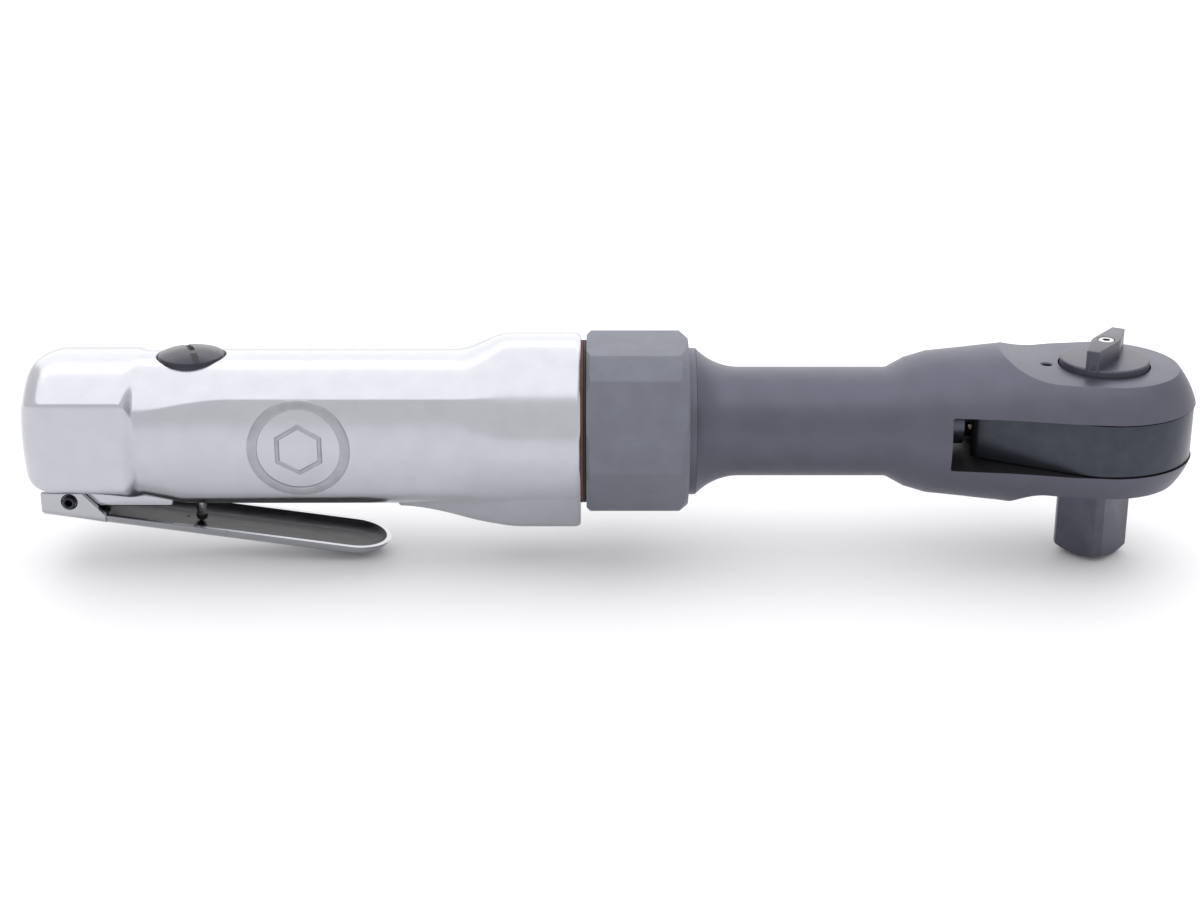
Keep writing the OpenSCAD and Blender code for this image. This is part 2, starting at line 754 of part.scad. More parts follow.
// ---- ratchet housing ----
module head_form() {
    flare_turn = acos((neck_start - flange_end) / flare_r);
    flare = arc_points(neck_start, neck_r + flare_r, flare_r, 180 + flare_turn, 270, 8);
    end_arc = [for (p = arc_points(0, 0, 1, 90, 0, 16)) [drive_x + head_end * p[0], head_r * p[1]]];
    turn_x(concat([[rear_spigot_x, 0], [rear_spigot_x, rear_spigot_r], [spigot_end + 0.1, rear_spigot_r],
        [spigot_end + 0.1, flange_r], [ring_groove_x, flange_r], [ring_groove_x, ring_groove_r],
        [ring_groove_x + ring_groove_w, ring_groove_r], [ring_groove_x + ring_groove_w, flange_r],
        [flange_end, flange_r]], flare, [[neck_end, neck_r]], head_shape, end_arc));
}

// What a milled flat takes off the head, with its round run-out towards the neck
module milled_flat(x, z, r) {
    translate([0, 40, 0]) rotate([90, 0, 0]) linear_extrude(80)
        polygon(concat([[x + 60, z + 30], [x + 60, z]], arc_points(x, z + r, r, 270, 195, 10),
                       [[x - r, z + 30]]));
}

module ratchet_housing() {
    color(housing_grey) difference() {
        head_form();
        milled_flat(top_flat_x, head_top, runout_r);
        mirror([0, 0, 1]) milled_flat(bottom_flat_x, head_bottom, bottom_runout_r);
        // yoke slot
        translate([slot_x, -40, -slot_half]) cube([80, 80, 2 * slot_half]);
        at_drive() {
            rod_z(0, 40, journal_r + fit);
            rod_z(knob_seat_z, 40, knob_seat_r);
            rod_z(-40, 0, anvil_r + fit);
            rod_z(groove_low, groove_high, groove_r);
        }
        translate([grease_hole_x, 0, 0]) rod_z(0, 40, grease_hole_r);
        // crank bores
        rod_x(rear_spigot_x - past, crank_bearing_x + crank_bearing_t, crank_bearing_r + fit);
        rod_x(rear_spigot_x - past, slot_x + past, neck_bore_r);
        rod_x(crank_bushing_x - 0.1, slot_x + past, crank_bushing_r + fit);
    }
}

module crank_bearing() {
    color(steel) ball_bearing(crank_bearing_x, crank_bearing_t - 0.1, crank_bearing_r, crank_shaft_r + 0.03,
                              1.5, 9);
}

module crank_bushing() {
    color(bronze) ring_x(crank_bushing_x, slot_x - 0.1, crank_bushing_r, crank_shaft_r + 0.03);
}

module drive_bushing() {
    color(bronze) translate([0, 0, crank_throw])
        ring_x(drive_bushing_x, drive_bushing_x + drive_bushing_len, bushing_r, crank_pin_r + 0.04);
}

// ---- ratchet ----
module ratchet_yoke() {
    tail = yoke_tail_x - drive_x;
    reach = norm([tail + yoke_tail_r, yoke_tail_half_w]);
    touch = 180 - atan(yoke_tail_half_w / -(tail + yoke_tail_r)) - acos(yoke_r / reach);
    side_a = [for (p = arc_points(0, 0, yoke_r, 0, touch, 28))
        [p[0] * (p[0] > 0 ? yoke_end / yoke_r : 1), p[1]]];
    tail_a = arc_points(tail + yoke_tail_r, yoke_tail_half_w - yoke_tail_r, yoke_tail_r, 110, 180, 5);
    half = concat(side_a, tail_a);
    count = len(half);
    full = concat(half, [for (i = [count - 1:-1:1]) [half[i][0], -half[i][1]]]);
    color(gunmetal) at_drive() translate([0, 0, -yoke_half_t]) linear_extrude(2 * yoke_half_t) difference() {
        polygon(full);
        polygon([for (i = [0:2 * yoke_teeth - 1])
            let (r = i % 2 == 0 ? yoke_tip_r : yoke_root_r, a = 180 * i / yoke_teeth)
            [r * cos(a), r * sin(a)]]);
        translate([tail - past, -fork_half_w]) square([fork_end_x - yoke_tail_x + past, 2 * fork_half_w]);
    }
}

module thrust_washer() {
    color(bronze) at_drive() ring_z(anvil_shoulder + fit, slot_half - 0.02, anvil_r - 0.1, journal_r + fit);
}

module square_form() {
    intersection() {
        rotate(45) translate([-square_side / 2, -square_side / 2, -square_reach])
            cube([square_side, square_side, square_reach]);
        rotate_extrude() polygon([[0, -square_reach], [square_tip_r, -square_reach],
            [square_corner_r, -square_reach + square_tip_len], [square_corner_r, 0], [0, 0]]);
    }
}

// Everything that a pawl's pocket needs, for the pawl that points along +X
module pocket() {
    translate([pocket_in, -pocket_half_w, -pocket_half_h]) cube([20, 2 * pocket_half_w, 2 * pocket_half_h]);
    translate([2, -3, -2]) cube([4, 6, 4]);
}

module anvil() {
    color(dark_steel) at_drive() difference() {
        union() {
            rod_z(anvil_floor, anvil_shoulder, anvil_r);
            rod_z(anvil_shoulder - past, journal_top, journal_r);
            rod_z(collar_bottom, anvil_floor + past, collar_r);
            square_form();
        }
        rod_z(knob_stem_bottom - 0.2, 40, stem_hole_r);
        for (a = [0, 180])
            rotate(a) {
                pocket();
                translate([pawl_pin_u, 0, pawl_pin_low]) cylinder(h = 20, r = pawl_pin_r + 0.01);
            }
        rotate(45) translate([0, 0, ball_z]) rotate([0, 90, 0]) {
            cylinder(h = 20, r = ball_r + fit);
            translate([0, 0, -3]) cylinder(h = 20, r = ball_spring_r + 0.1);
        }
    }
}

module pawl_pins() {
    color(steel) at_drive() for (a = [0, 180])
        rotate(a) translate([pawl_pin_u, 0, pawl_pin_low + fit])
            cylinder(h = anvil_shoulder - pawl_pin_low - 2 * fit, r = pawl_pin_r);
}

// Double ended pawl; outline about its pin, for the pawl that points along +X
module pawl(i) {
    half = [[1.7, 0], [1.9, 2.6], [2.35, 5.2], [0.9, 5.5], [-2.2, 4.9], [-3.0, 2.9], [-2.7, 0]];
    count = len(half);
    outline = concat(half, [for (k = [count - 2:-1:1]) [half[k][0], -half[k][1]]]);
    color(steel) at_drive() rotate(180 * i) translate([pawl_pin_u, 0, -pawl_half_h]) rotate(pawl_tilt)
        linear_extrude(2 * pawl_half_h) difference() {
            polygon(outline);
            circle(r = pawl_pin_r + fit);
        }
}

module anvil_retaining_ring() {
    color(steel) at_drive() ring_z(groove_low + 0.1, groove_high - 0.1, groove_r - fit, collar_r + 0.5);
}

module socket_ball() {
    color(steel) at_drive() rotate(45) translate([ball_centre, 0, ball_z]) sphere(r = ball_r, $fn = 32);
}

module ball_spring() {
    low = -2.9;
    color(steel) at_drive() rotate(45) translate([low, 0, ball_z]) rotate([0, 90, 0])
        coil(0.8, 0.2, ball_centre - ball_r - ball_travel - fit - low, 4);
}

// ---- reverse knob ----
module reverse_knob() {
    color(dark_steel) at_drive() difference() {
        union() {
            rod_z(knob_stem_bottom, journal_top + past, knob_stem_r);
            rod_z(journal_top + 0.1, knob_disc_top, knob_disc_r);
            rotate(knob_fin_turn) translate([0, 0, knob_disc_top - past])
                linear_extrude(knob_fin_top - knob_disc_top + past) polygon([for (side = [1, -1])
                    each [[-side * knob_fin_len / 2, -side * knob_fin_end],
                          [side * knob_fin_skew, -side * knob_fin_mid],
                          [side * knob_fin_len / 2, -side * knob_fin_end]]]);
        }
        rod_z(knob_fin_top - 2.5, knob_fin_top + past, knob_screw_r + 0.02);
        rod_z(6, knob_fin_top, 1.02);
        rotate(-knob_travel / 2) rotate([0, 90, 0]) translate([0, 0, -10])
            cylinder(h = 20, r = plunger_r + fit);
    }
}

module knob_screw() {
    color(steel) at_drive() difference() {
        union() {
            rod_z(knob_fin_top - 2.45, knob_fin_top - 0.05, knob_screw_r);
            rod_z(6.1, knob_fin_top - 2, 1);
        }
        translate([0, 0, knob_fin_top - 1.6]) cylinder(h = 3, r = 0.95, $fn = 6);
    }
}

module selector_plunger(i) {
    color(steel) at_drive() rotate(180 * i - knob_travel / 2) rotate([0, 90, 0]) {
        translate([0, 0, plunger_in]) cylinder(h = plunger_tip - plunger_in - plunger_r, r = plunger_r);
        translate([0, 0, plunger_tip - plunger_r]) sphere(r = plunger_r - 0.01, $fn = 32);
    }
}

module plunger_spring() {
    half = plunger_in - 0.6;
    color(steel) at_drive() rotate(-knob_travel / 2) rotate([0, 90, 0]) translate([0, 0, -half])
        coil(0.8, 0.2, 2 * half, 4);
}

motor_housing();
inlet_bushing();
inlet_screen();
throttle_seat();
throttle_spring();
stem_seal();
lever_pin();
throttle_lever();
valve_stem();
throttle_valve();
regulator_plug();
regulator_seal();
rear_end_plate();
rear_bearing();
cylinder_liner();
cylinder_dowel();
rotor();
for (i = [1:blade_count]) rotor_blade(i - 1);
front_end_plate();
front_bearing();
ring_gear();
for (i = [1:3]) planet_gear(i - 1);
planet_pins();
crankshaft();
joint_gasket();
spacer_ring();
clamp_nut();
nut_retaining_ring();
ratchet_housing();
crank_bearing();
crank_bushing();
drive_bushing();
ratchet_yoke();
thrust_washer();
anvil();
anvil_retaining_ring();
ball_spring();
socket_ball();
pawl_pins();
for (i = [1:2]) pawl(i - 1);
reverse_knob();
knob_screw();
for (i = [1:2]) selector_plunger(i - 1);
plunger_spring();
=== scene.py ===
"""Pneumatic ratchet wrench: the pieces that show, their finishes and a plain studio.

Lengths are millimetres until a piece is finished, when its mesh is scaled to metres in place.
+X runs along the tool from the air inlet to the head, +Z points to the reverse knob side.
"""

from math import acos, asin, atan2, cos, degrees, hypot, pi, radians, sin, sqrt, tan

import bmesh
import bpy
from mathutils import Matrix, Vector


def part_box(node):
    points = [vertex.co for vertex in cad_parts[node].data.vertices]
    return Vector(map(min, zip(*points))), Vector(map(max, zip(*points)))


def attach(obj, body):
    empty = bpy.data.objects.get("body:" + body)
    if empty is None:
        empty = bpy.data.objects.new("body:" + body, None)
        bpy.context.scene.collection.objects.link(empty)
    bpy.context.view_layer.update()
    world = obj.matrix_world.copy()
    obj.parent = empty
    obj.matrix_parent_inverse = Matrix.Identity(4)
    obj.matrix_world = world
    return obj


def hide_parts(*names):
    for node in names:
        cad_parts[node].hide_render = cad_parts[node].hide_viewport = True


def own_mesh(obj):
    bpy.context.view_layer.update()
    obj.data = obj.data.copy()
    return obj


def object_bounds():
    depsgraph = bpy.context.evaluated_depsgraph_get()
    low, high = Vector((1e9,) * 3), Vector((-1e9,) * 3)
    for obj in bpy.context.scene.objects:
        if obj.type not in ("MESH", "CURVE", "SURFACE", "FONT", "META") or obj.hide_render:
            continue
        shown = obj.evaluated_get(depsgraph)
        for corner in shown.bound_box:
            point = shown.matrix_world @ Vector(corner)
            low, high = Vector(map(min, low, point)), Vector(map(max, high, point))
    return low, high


bl_info = {
    "name": "Air Ratchet",
    "version": (1, 0, 0),
    "blender": (4, 5, 0),
    "location": "View3D > Sidebar > Air Ratchet",
    "description": "Builds the visible pieces and finishes of a pneumatic ratchet wrench",
    "category": "Object",
}

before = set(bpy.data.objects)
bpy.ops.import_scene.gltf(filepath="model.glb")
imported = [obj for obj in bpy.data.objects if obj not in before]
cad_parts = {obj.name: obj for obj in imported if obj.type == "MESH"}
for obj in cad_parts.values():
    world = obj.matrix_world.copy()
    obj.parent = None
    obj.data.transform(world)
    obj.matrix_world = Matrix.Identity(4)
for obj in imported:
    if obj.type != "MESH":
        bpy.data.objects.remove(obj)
CAD_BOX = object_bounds()
MM = 0.001
X, Y, Z = Vector((1, 0, 0)), Vector((0, 1, 0)), Vector((0, 0, 1))


def box_mm(node):
    """A CAD node's lowest and highest corners in millimetres."""
    low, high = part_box(node)
    return Vector(low) / MM, Vector(high) / MM


def middle_mm(node):
    low, high = box_mm(node)
    return (low + high) / 2


SEAM_X = box_mm("joint_gasket")[0].x
NUT_LOW, NUT_HIGH = box_mm("clamp_nut")
VALVE = middle_mm("regulator_plug")
DRIVE = middle_mm("anvil")
HINGE = middle_mm("lever_pin")
KNOB_TOP = box_mm("reverse_knob")[1].z
TOOL_MIDDLE = 0.127  # where the stage is centred along X, in metres


# ---------------------------------------------------------------- settings

def length(name, text, value):
    """A length that a user may change, in millimetres."""
    return bpy.props.FloatProperty(name=name, description=text, default=value, unit="NONE")


def colour(name, text, value):
    return bpy.props.FloatVectorProperty(name=name, description=text, default=value, size=3, min=0, max=1,
                                         subtype="COLOR")


class GripSettings(bpy.types.PropertyGroup):
    """Form of the cast motor housing"""
    side: length("Side", "Half width at the side panels", 17.3)
    top: length("Top", "Height above the axis", 15.8)
    bottom: length("Bottom", "Depth below the axis", 18.2)
    pad: length("Pad", "Half width over the rear pads", 18.7)
    barrel: length("Barrel", "Radius of the round barrel", 20.0)
    chin: length("Chin", "Depth of the chin", 22.0)
    medallion: length("Medallion", "Outer radius of the medallion on each side", 11.3)
    medallion_x: length("Medallion place", "Distance of the medallion from the rear face", 61.2)


class HeadSettings(bpy.types.PropertyGroup):
    """Form of the ratchet housing and its yoke"""
    neck: length("Neck", "Radius of the neck", 12.25)
    end: length("End", "Length of the rounded end", 21.5)
    top: length("Top flat", "Height of the top flat", 13.5)
    bottom: length("Bottom flat", "Depth of the bottom flat", 12.0)
    slot: length("Slot", "Half height of the yoke slot", 6.17)
    yoke: length("Yoke", "Radius of the yoke", 19.8)
    square: length("Square", "Side of the square drive", 12.7)


class FinishSettings(bpy.types.PropertyGroup):
    """Colours of the finishes"""
    aluminium: colour("Aluminium", "Polished cast aluminium", (0.50, 0.505, 0.54))
    satin: colour("Housing", "Dark satin steel of the ratchet housing", (0.104, 0.104, 0.136))
    nut: colour("Nut", "Grey phosphate on the clamp nut", (0.142, 0.148, 0.184))
    yoke: colour("Yoke", "Black oxide on the yoke", (0.05, 0.056, 0.07))
    gunmetal: colour("Plug", "Gunmetal of the regulator plug", (0.05, 0.05, 0.062))
    lever: colour("Lever", "Polished steel of the lever", (0.46, 0.465, 0.49))
    bright: colour("Bright steel", "Ground and turned steel", (0.62, 0.62, 0.63))
    bronze: colour("Bronze", "Bearing bronze", (0.62, 0.42, 0.2))
    rubber: colour("Rubber", "Black rubber", (0.018, 0.018, 0.02))
    fibre: colour("Fibre", "Brown gasket fibre", (0.17, 0.07, 0.05))
    phenolic: colour("Phenolic", "Motor blades", (0.24, 0.13, 0.07))


def settings(name):
    return getattr(bpy.context.scene, "ratchet_" + name)


# ---------------------------------------------------------------- finishes

class Value:
    """A shader value that Python's operators combine into Math nodes."""

    def __init__(self, finish, socket):
        self.finish, self.socket = finish, socket

    def math(self, operation, other, swapped=False):
        pair = (other, self) if swapped else (self, other)
        return self.finish.add("ShaderNodeMath", {"operation": operation}, {0: pair[0], 1: pair[1]})

    def __add__(self, other): return self.math("ADD", other)
    def __radd__(self, other): return self.math("ADD", other, True)
    def __sub__(self, other): return self.math("SUBTRACT", other)
    def __rsub__(self, other): return self.math("SUBTRACT", other, True)
    def __mul__(self, other): return self.math("MULTIPLY", other)
    def __rmul__(self, other): return self.math("MULTIPLY", other, True)


class Finish:
    """A material and its nodes; every node comes from add()."""

    def __init__(self, name):
        self.material = bpy.data.materials.new(name)
        self.material.use_nodes = True
        self.tree = self.material.node_tree
        self.surface = self.tree.nodes["Principled BSDF"]

    def add(self, kind, options=None, values=None, out=0):
        node = self.tree.nodes.new(kind)
        for key, option in (options or {}).items():
            if key == "stops":
                ramp = node.color_ramp
                while len(ramp.elements) < len(option):
                    ramp.elements.new(0.5)
                for element, (place, tone) in zip(ramp.elements, option):
                    element.position, element.color = place, (*tone, 1)
            else:
                setattr(node, key, option)
        for key, value in (values or {}).items():
            self.feed(node.inputs[key], value)
        return Value(self, node.outputs[out])

    def feed(self, socket, value):
        if isinstance(value, Value):
            self.tree.links.new(value.socket, socket)
        elif isinstance(value, (tuple, list)) and len(value) == 3 and len(socket.default_value) == 4:
            socket.default_value = (*value, 1)
        else:
            socket.default_value = value

    def set(self, **values):
        for key, value in values.items():
            self.feed(self.surface.inputs[key.replace("_", " ")], value)

    def place(self, stretch=(1, 1, 1)):
        """Object coordinates in millimetres, squeezed along each axis by stretch."""
        coords = self.add("ShaderNodeTexCoord", out="Object")
        return self.add("ShaderNodeMapping", None, {"Vector": coords, "Scale": [s / MM for s in stretch]})

    def noise(self, place, scale, detail=3.0, roughness=0.5):
        return self.add("ShaderNodeTexNoise", None,
                        {"Vector": place, "Scale": scale, "Detail": detail, "Roughness": roughness})

    def band(self, value, low, high, to_low=0.0, to_high=1.0):
        return self.add("ShaderNodeMapRange", None, {"Value": value, "From Min": low, "From Max": high,
                                                     "To Min": to_low, "To Max": to_high})

    def blend(self, factor, a, b):
        return self.add("ShaderNodeMix", {"data_type": "RGBA"}, {0: factor, 6: a, 7: b}, out=2)

    def bump(self, height, strength, distance_mm):
        return self.add("ShaderNodeBump", None, {"Height": height, "Strength": strength,
                                                 "Distance": distance_mm * MM})


def darker(tone, share):
    return tuple(c * share for c in tone)


def lighter(tone, share):
    return tuple(min(1, c * (1 + share)) for c in tone)


def polished_aluminium():
    f = Finish("polished_aluminium")
    tone = tuple(settings("finish").aluminium)
    cast = f.noise(f.place(), 0.22, 4.0)
    wheel = f.noise(f.place((0.05, 1.6, 1.6)), 1.4, 5.0, 0.6)
    scuffs = f.noise(f.place((0.5, 2.2, 2.2)), 0.9, 8.0, 0.75)
    marks = f.band(scuffs, 0.62, 0.74)
    f.set(Base_Color=f.blend(f.band(cast, 0.35, 0.7), tone, darker(tone, 0.95)), Metallic=1.0,
          Roughness=0.16 + 0.05 * wheel + 0.06 * marks + 0.05 * cast,
          Normal=f.bump(cast * 0.7 + wheel * 0.12, 0.06, 0.25))
    return f.material


def satin_steel():
    f = Finish("satin_black_steel")
    tone = tuple(settings("finish").satin)
    cloud = f.noise(f.place(), 0.16, 3.0)
    grain = f.noise(f.place(), 5.5, 4.0, 0.6)
    turned = f.noise(f.place((3.2, 0.06, 0.06)), 1.0, 3.0)
    shade = f.blend(f.band(cloud, 0.3, 0.72), darker(tone, 0.95), lighter(tone, 0.05))
    f.set(Base_Color=shade, Metallic=0.75,
          Roughness=0.34 + 0.10 * grain + 0.06 * turned,
          Normal=f.bump(grain * 0.5 + turned * 0.6, 0.12, 0.05))
    return f.material


def nut_phosphate():
    f = Finish("nut_phosphate")
    tone = tuple(settings("finish").nut)
    cloud = f.noise(f.place(), 0.2, 3.0)
    grain = f.noise(f.place(), 9.0, 5.0, 0.7)
    pits = f.band(f.noise(f.place(), 1.1, 2.0), 0.70, 0.76)
    shade = f.blend(f.band(cloud, 0.3, 0.75), darker(tone, 0.9), lighter(tone, 0.05))
    pitted = f.blend(pits * 0.5, shade, darker(tone, 0.6))
    f.set(Base_Color=pitted, Metallic=0.25,
          Roughness=0.40 + 0.12 * grain, Normal=f.bump(grain - pits * 0.5, 0.18, 0.04))
    return f.material


def yoke_oxide():
    f = Finish("yoke_oxide")
    tone = tuple(settings("finish").yoke)
    cloud = f.noise(f.place(), 0.3, 3.0)
    ground = f.noise(f.place((0.1, 0.1, 4.0)), 1.6, 4.0)
    shade = f.blend(f.band(cloud, 0.3, 0.7), darker(tone, 0.85), lighter(tone, 0.05))
    f.set(Base_Color=shade, Metallic=0.8,
          Roughness=0.27 + 0.10 * ground, Normal=f.bump(ground, 0.08, 0.04))
    return f.material


def simple_metal(name, tone, rough, grain_mm, metallic=1.0, mottling=0.12, bump=0.08):
    """A metal with fine grain and a little mottling; grain_mm is the grain's size."""
    f = Finish(name)
    cloud = f.noise(f.place(), 0.35, 3.0)
    grain = f.noise(f.place(), 1 / grain_mm, 4.0, 0.6)
    shade = f.blend(f.band(cloud, 0.3, 0.7), darker(tone, 1 - mottling), lighter(tone, mottling * 0.3))
    f.set(Base_Color=shade, Metallic=metallic,
          Roughness=rough + 0.12 * grain, Normal=f.bump(grain, bump, 0.04))
    return f.material


def soft_finish(name, tone, rough, grain_mm, bump=0.25):
    """Rubber, fibre and phenolic: no metal, a fine tooth."""
    f = Finish(name)
    cloud = f.noise(f.place(), 0.5, 4.0)
    grain = f.noise(f.place(), 1 / grain_mm, 5.0, 0.7)
    f.set(Base_Color=f.blend(cloud, darker(tone, 0.75), lighter(tone, 0.05)),
          Roughness=rough + 0.15 * grain, Normal=f.bump(grain, bump, 0.05))
    return f.material


def lever_steel():
    f = Finish("lever_steel")
    tone = tuple(settings("finish").lever)
    brushed = f.noise(f.place((0.04, 2.4, 2.4)), 1.5, 5.0, 0.6)
    cloud = f.noise(f.place(), 0.12, 3.0)
    f.set(Base_Color=f.blend(f.band(cloud, 0.3, 0.7), tone, darker(tone, 0.9)), Metallic=1.0,
          Roughness=0.16 + 0.10 * brushed, Normal=f.bump(brushed, 0.06, 0.04))
    return f.material


def trough_painted_shade():
    """The lever's inner face: unpolished, with long draw marks."""
    f = Finish("trough_painted_shade")
    # Painted shade: the lever's tone cut to 8 per cent so that the inner face reads as the trough's shaded
    # hollow.
    tone = darker(tuple(settings("finish").lever), 0.08)
    drawn = f.noise(f.place((0.03, 1.2, 1.2)), 1.0, 4.0, 0.6)
    f.set(Base_Color=f.blend(f.band(drawn, 0.35, 0.75), tone, lighter(tone, 0.9)), Metallic=0.9,
          Roughness=0.34 + 0.1 * drawn, Normal=f.bump(drawn, 0.05, 0.05))
    return f.material


FINISHES = {}


def finish(slot):
    """The material for a slot of the record or for one of its variants, made once."""
    if slot not in FINISHES:
        c = settings("finish")
        makers = {
            "polished_aluminium": polished_aluminium,
            "satin_black_steel": satin_steel,
            "knob_oxide": lambda: simple_metal("knob_oxide", darker(tuple(c.satin), 0.62), 0.30, 0.3, 0.35),
            # painted_slot_shade: painted shade, a near-black finish for faces of slots and bores that lie in
            # shade
            "painted_slot_shade": lambda: simple_metal("painted_slot_shade", (0.012, 0.012, 0.015), 0.55, 0.3, 0.2),
            "trough_painted_shade": trough_painted_shade,
            "medallion_metal": lambda: simple_metal("medallion_metal", darker(tuple(c.aluminium), 0.74), 0.26,
                                                    0.3),
            "nut_steel": nut_phosphate,
            "yoke_steel": yoke_oxide,
            "lever_steel": lever_steel,
            "drive_steel": lambda: simple_metal("drive_steel", tuple(c.satin), 0.32, 0.25, 0.8),
            "gunmetal": lambda: simple_metal("gunmetal", tuple(c.gunmetal), 0.22, 0.3, 0.9),
            "bright_steel": lambda: simple_metal("bright_steel", tuple(c.bright), 0.20, 0.3),
            "bronze": lambda: simple_metal("bronze", tuple(c.bronze), 0.28, 0.4),
            "black_rubber": lambda: soft_finish("black_rubber", tuple(c.rubber), 0.55, 0.3),
            "brown_fibre": lambda: soft_finish("brown_fibre", tuple(c.fibre), 0.7, 0.25),
            "vane_phenolic": lambda: soft_finish("vane_phenolic", tuple(c.phenolic), 0.5, 0.5),
        }
        FINISHES[slot] = makers[slot]()
    return FINISHES[slot]


# ---------------------------------------------------------------- mesh helpers, in millimetres

def arc(cx, cy, r, start, end, steps):
    """Points on an arc, angles in degrees."""
    return [(cx + r * cos(radians(start + (end - start) * i / steps)),
             cy + r * sin(radians(start + (end - start) * i / steps))) for i in range(steps + 1)]


def round_edges(bm, width, segments, pick):
    """Rounds the edges of a plain form that pick chooses."""
    bmesh.ops.bevel(bm, geom=[e for e in bm.edges if pick(e)], offset=width, offset_type="OFFSET",
                    segments=segments, profile=0.5, affect="EDGES", material=-1)


def tidy(bm, gap=0.001):
    bmesh.ops.remove_doubles(bm, verts=bm.verts, dist=gap)
    bmesh.ops.recalc_face_normals(bm, faces=bm.faces)
    return bm


def lathe(points, axis=X, centre=(0, 0, 0), steps=96, closed=False):
    """Turns (along, radius) points about an axis; closed joins the last point to the first."""
    bm = bmesh.new()
    side = Z if axis is X else X
    spots = [bm.verts.new(Vector(centre) + axis * a + side * r) for a, r in points]
    pairs = list(zip(spots, spots[1:])) + ([(spots[-1], spots[0])] if closed else [])
    edges = [bm.edges.new(pair) for pair in pairs]
    bmesh.ops.spin(bm, geom=spots + edges, cent=centre, axis=axis, dvec=(0, 0, 0), angle=2 * pi, steps=steps,
                   use_merge=True, use_duplicate=False)
    return tidy(bm)


def prism(outline, low, high, axis=Z, centre=(0, 0, 0)):
    """Extrudes a closed outline. Its points are (x, y) for axis Z, (y, z) for X and (x, z) for Y."""
    bm = bmesh.new()
    lift = {"Z": lambda a, b: Vector((a, b, low)), "X": lambda a, b: Vector((low, a, b)),
            "Y": lambda a, b: Vector((a, low, b))}["XYZ"[[X, Y, Z].index(axis)]]
    face = bm.faces.new([bm.verts.new(Vector(centre) + lift(a, b)) for a, b in outline])
    grown = bmesh.ops.extrude_face_region(bm, geom=[face])["geom"]
    bmesh.ops.translate(bm, verts=[v for v in grown if isinstance(v, bmesh.types.BMVert)],
                        vec=axis * (high - low))
    bmesh.ops.recalc_face_normals(bm, faces=bm.faces)
    return bm


def block(low, high):
    bm = bmesh.new()
    bmesh.ops.create_cube(bm, size=1)
    low, high = Vector(low), Vector(high)
    bmesh.ops.scale(bm, verts=bm.verts, vec=high - low)
    bmesh.ops.translate(bm, verts=bm.verts, vec=(low + high) / 2)
    return bm


def turned(bm, angle, axis="Z", centre=(0, 0, 0)):
    bmesh.ops.rotate(bm, verts=bm.verts, cent=centre, matrix=Matrix.Rotation(radians(angle), 3, axis))
    return bm


def joined(*meshes):
    """One bmesh that holds several."""
    whole = bmesh.new()
    for bm in meshes:
        part = bpy.data.meshes.new("part")
        bm.to_mesh(part)
        whole.from_mesh(part)
        bpy.data.meshes.remove(part)
        bm.free()
    return whole


class Piece:
    """A visible piece while it is being made."""

    def __init__(self, name, bm):
        self.object = bpy.data.objects.new(name, bpy.data.meshes.new(name))
        bpy.context.scene.collection.objects.link(self.object)
        bm.to_mesh(self.object.data)
        bm.free()

    def apply_modifiers(self):
        """Bakes what the modifiers have made into the mesh."""
        bpy.context.view_layer.update()
        solid = self.object.evaluated_get(bpy.context.evaluated_depsgraph_get())
        fresh = bpy.data.meshes.new_from_object(solid)
        old, self.object.data = self.object.data, fresh
        self.object.modifiers.clear()
        bpy.data.meshes.remove(old)

    def carve(self, *cutters, operation="DIFFERENCE"):
        """Cuts away, adds or keeps the space that the cutters fill."""
        for bm in cutters:
            tool = Piece("tool", bm)
            step = self.object.modifiers.new("carve", "BOOLEAN")
            step.operation, step.solver, step.object = operation, "EXACT", tool.object
            self.apply_modifiers()
            bpy.data.objects.remove(tool.object)
        return self

    def edit(self, change):
        bm = bmesh.new()
        bm.from_mesh(self.object.data)
        change(bm)
        bm.to_mesh(self.object.data)
        bm.free()
        return self

    def merge(self, gap):
        """Joins points that a cut left closer than gap."""
        def change(bm):
            bmesh.ops.remove_doubles(bm, verts=bm.verts, dist=gap)
            bmesh.ops.dissolve_degenerate(bm, edges=bm.edges, dist=gap)
        return self.edit(change)

    def flatten(self, angle=0.5):
        """Joins faces that lie in one plane."""
        return self.edit(lambda bm: bmesh.ops.dissolve_limit(
            bm, angle_limit=radians(angle), use_dissolve_boundaries=False, verts=bm.verts, edges=bm.edges,
            delimit=set()))

    def bevel(self, width, segments=2, angle=32, keep=None):
        """Rounds the edges that are sharper than angle; keep may pick among them."""
        def change(bm):
            sharp = [e for e in bm.edges if e.is_manifold and degrees(e.calc_face_angle(0)) > angle
                     and (keep is None or keep(e))]
            bmesh.ops.bevel(bm, geom=sharp, offset=width, offset_type="OFFSET", segments=segments, profile=0.5,
                            affect="EDGES", material=-1, clamp_overlap=True)
        return self.edit(change)

    def done(self, body, slot, *nodes, sharp=40, second=None, where=None):
        """Puts the piece in metres, shades it and gives it its body, finish and CAD nodes.
        The faces that where picks, by centre and normal, get the second finish."""
        def change(bm):
            for face in bm.faces:
                face.material_index = int(bool(second and where(face.calc_center_median(), face.normal)))
            bmesh.ops.scale(bm, verts=bm.verts, vec=(MM, MM, MM))
        mesh = self.object.data
        mesh.materials.clear()
        for name in (slot, second) if second else (slot,):
            mesh.materials.append(finish(name))
        self.edit(change)
        mesh.shade_smooth()
        mesh.set_sharp_from_angle(angle=radians(sharp))
        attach(self.object, body)
        if nodes:
            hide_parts(*nodes)
        return self.object


# ---------------------------------------------------------------- motor housing

def clamp01(v): return min(1, max(0, v))
def smooth(v): return clamp01(v) ** 2 * (3 - 2 * clamp01(v))
def mix(a, b, t): return a + (b - a) * t


def soft_min(reaches, power):
    """The smallest reach, with the corner between two of them rounded."""
    return sum(r ** -power for r in reaches) ** (-1 / power)


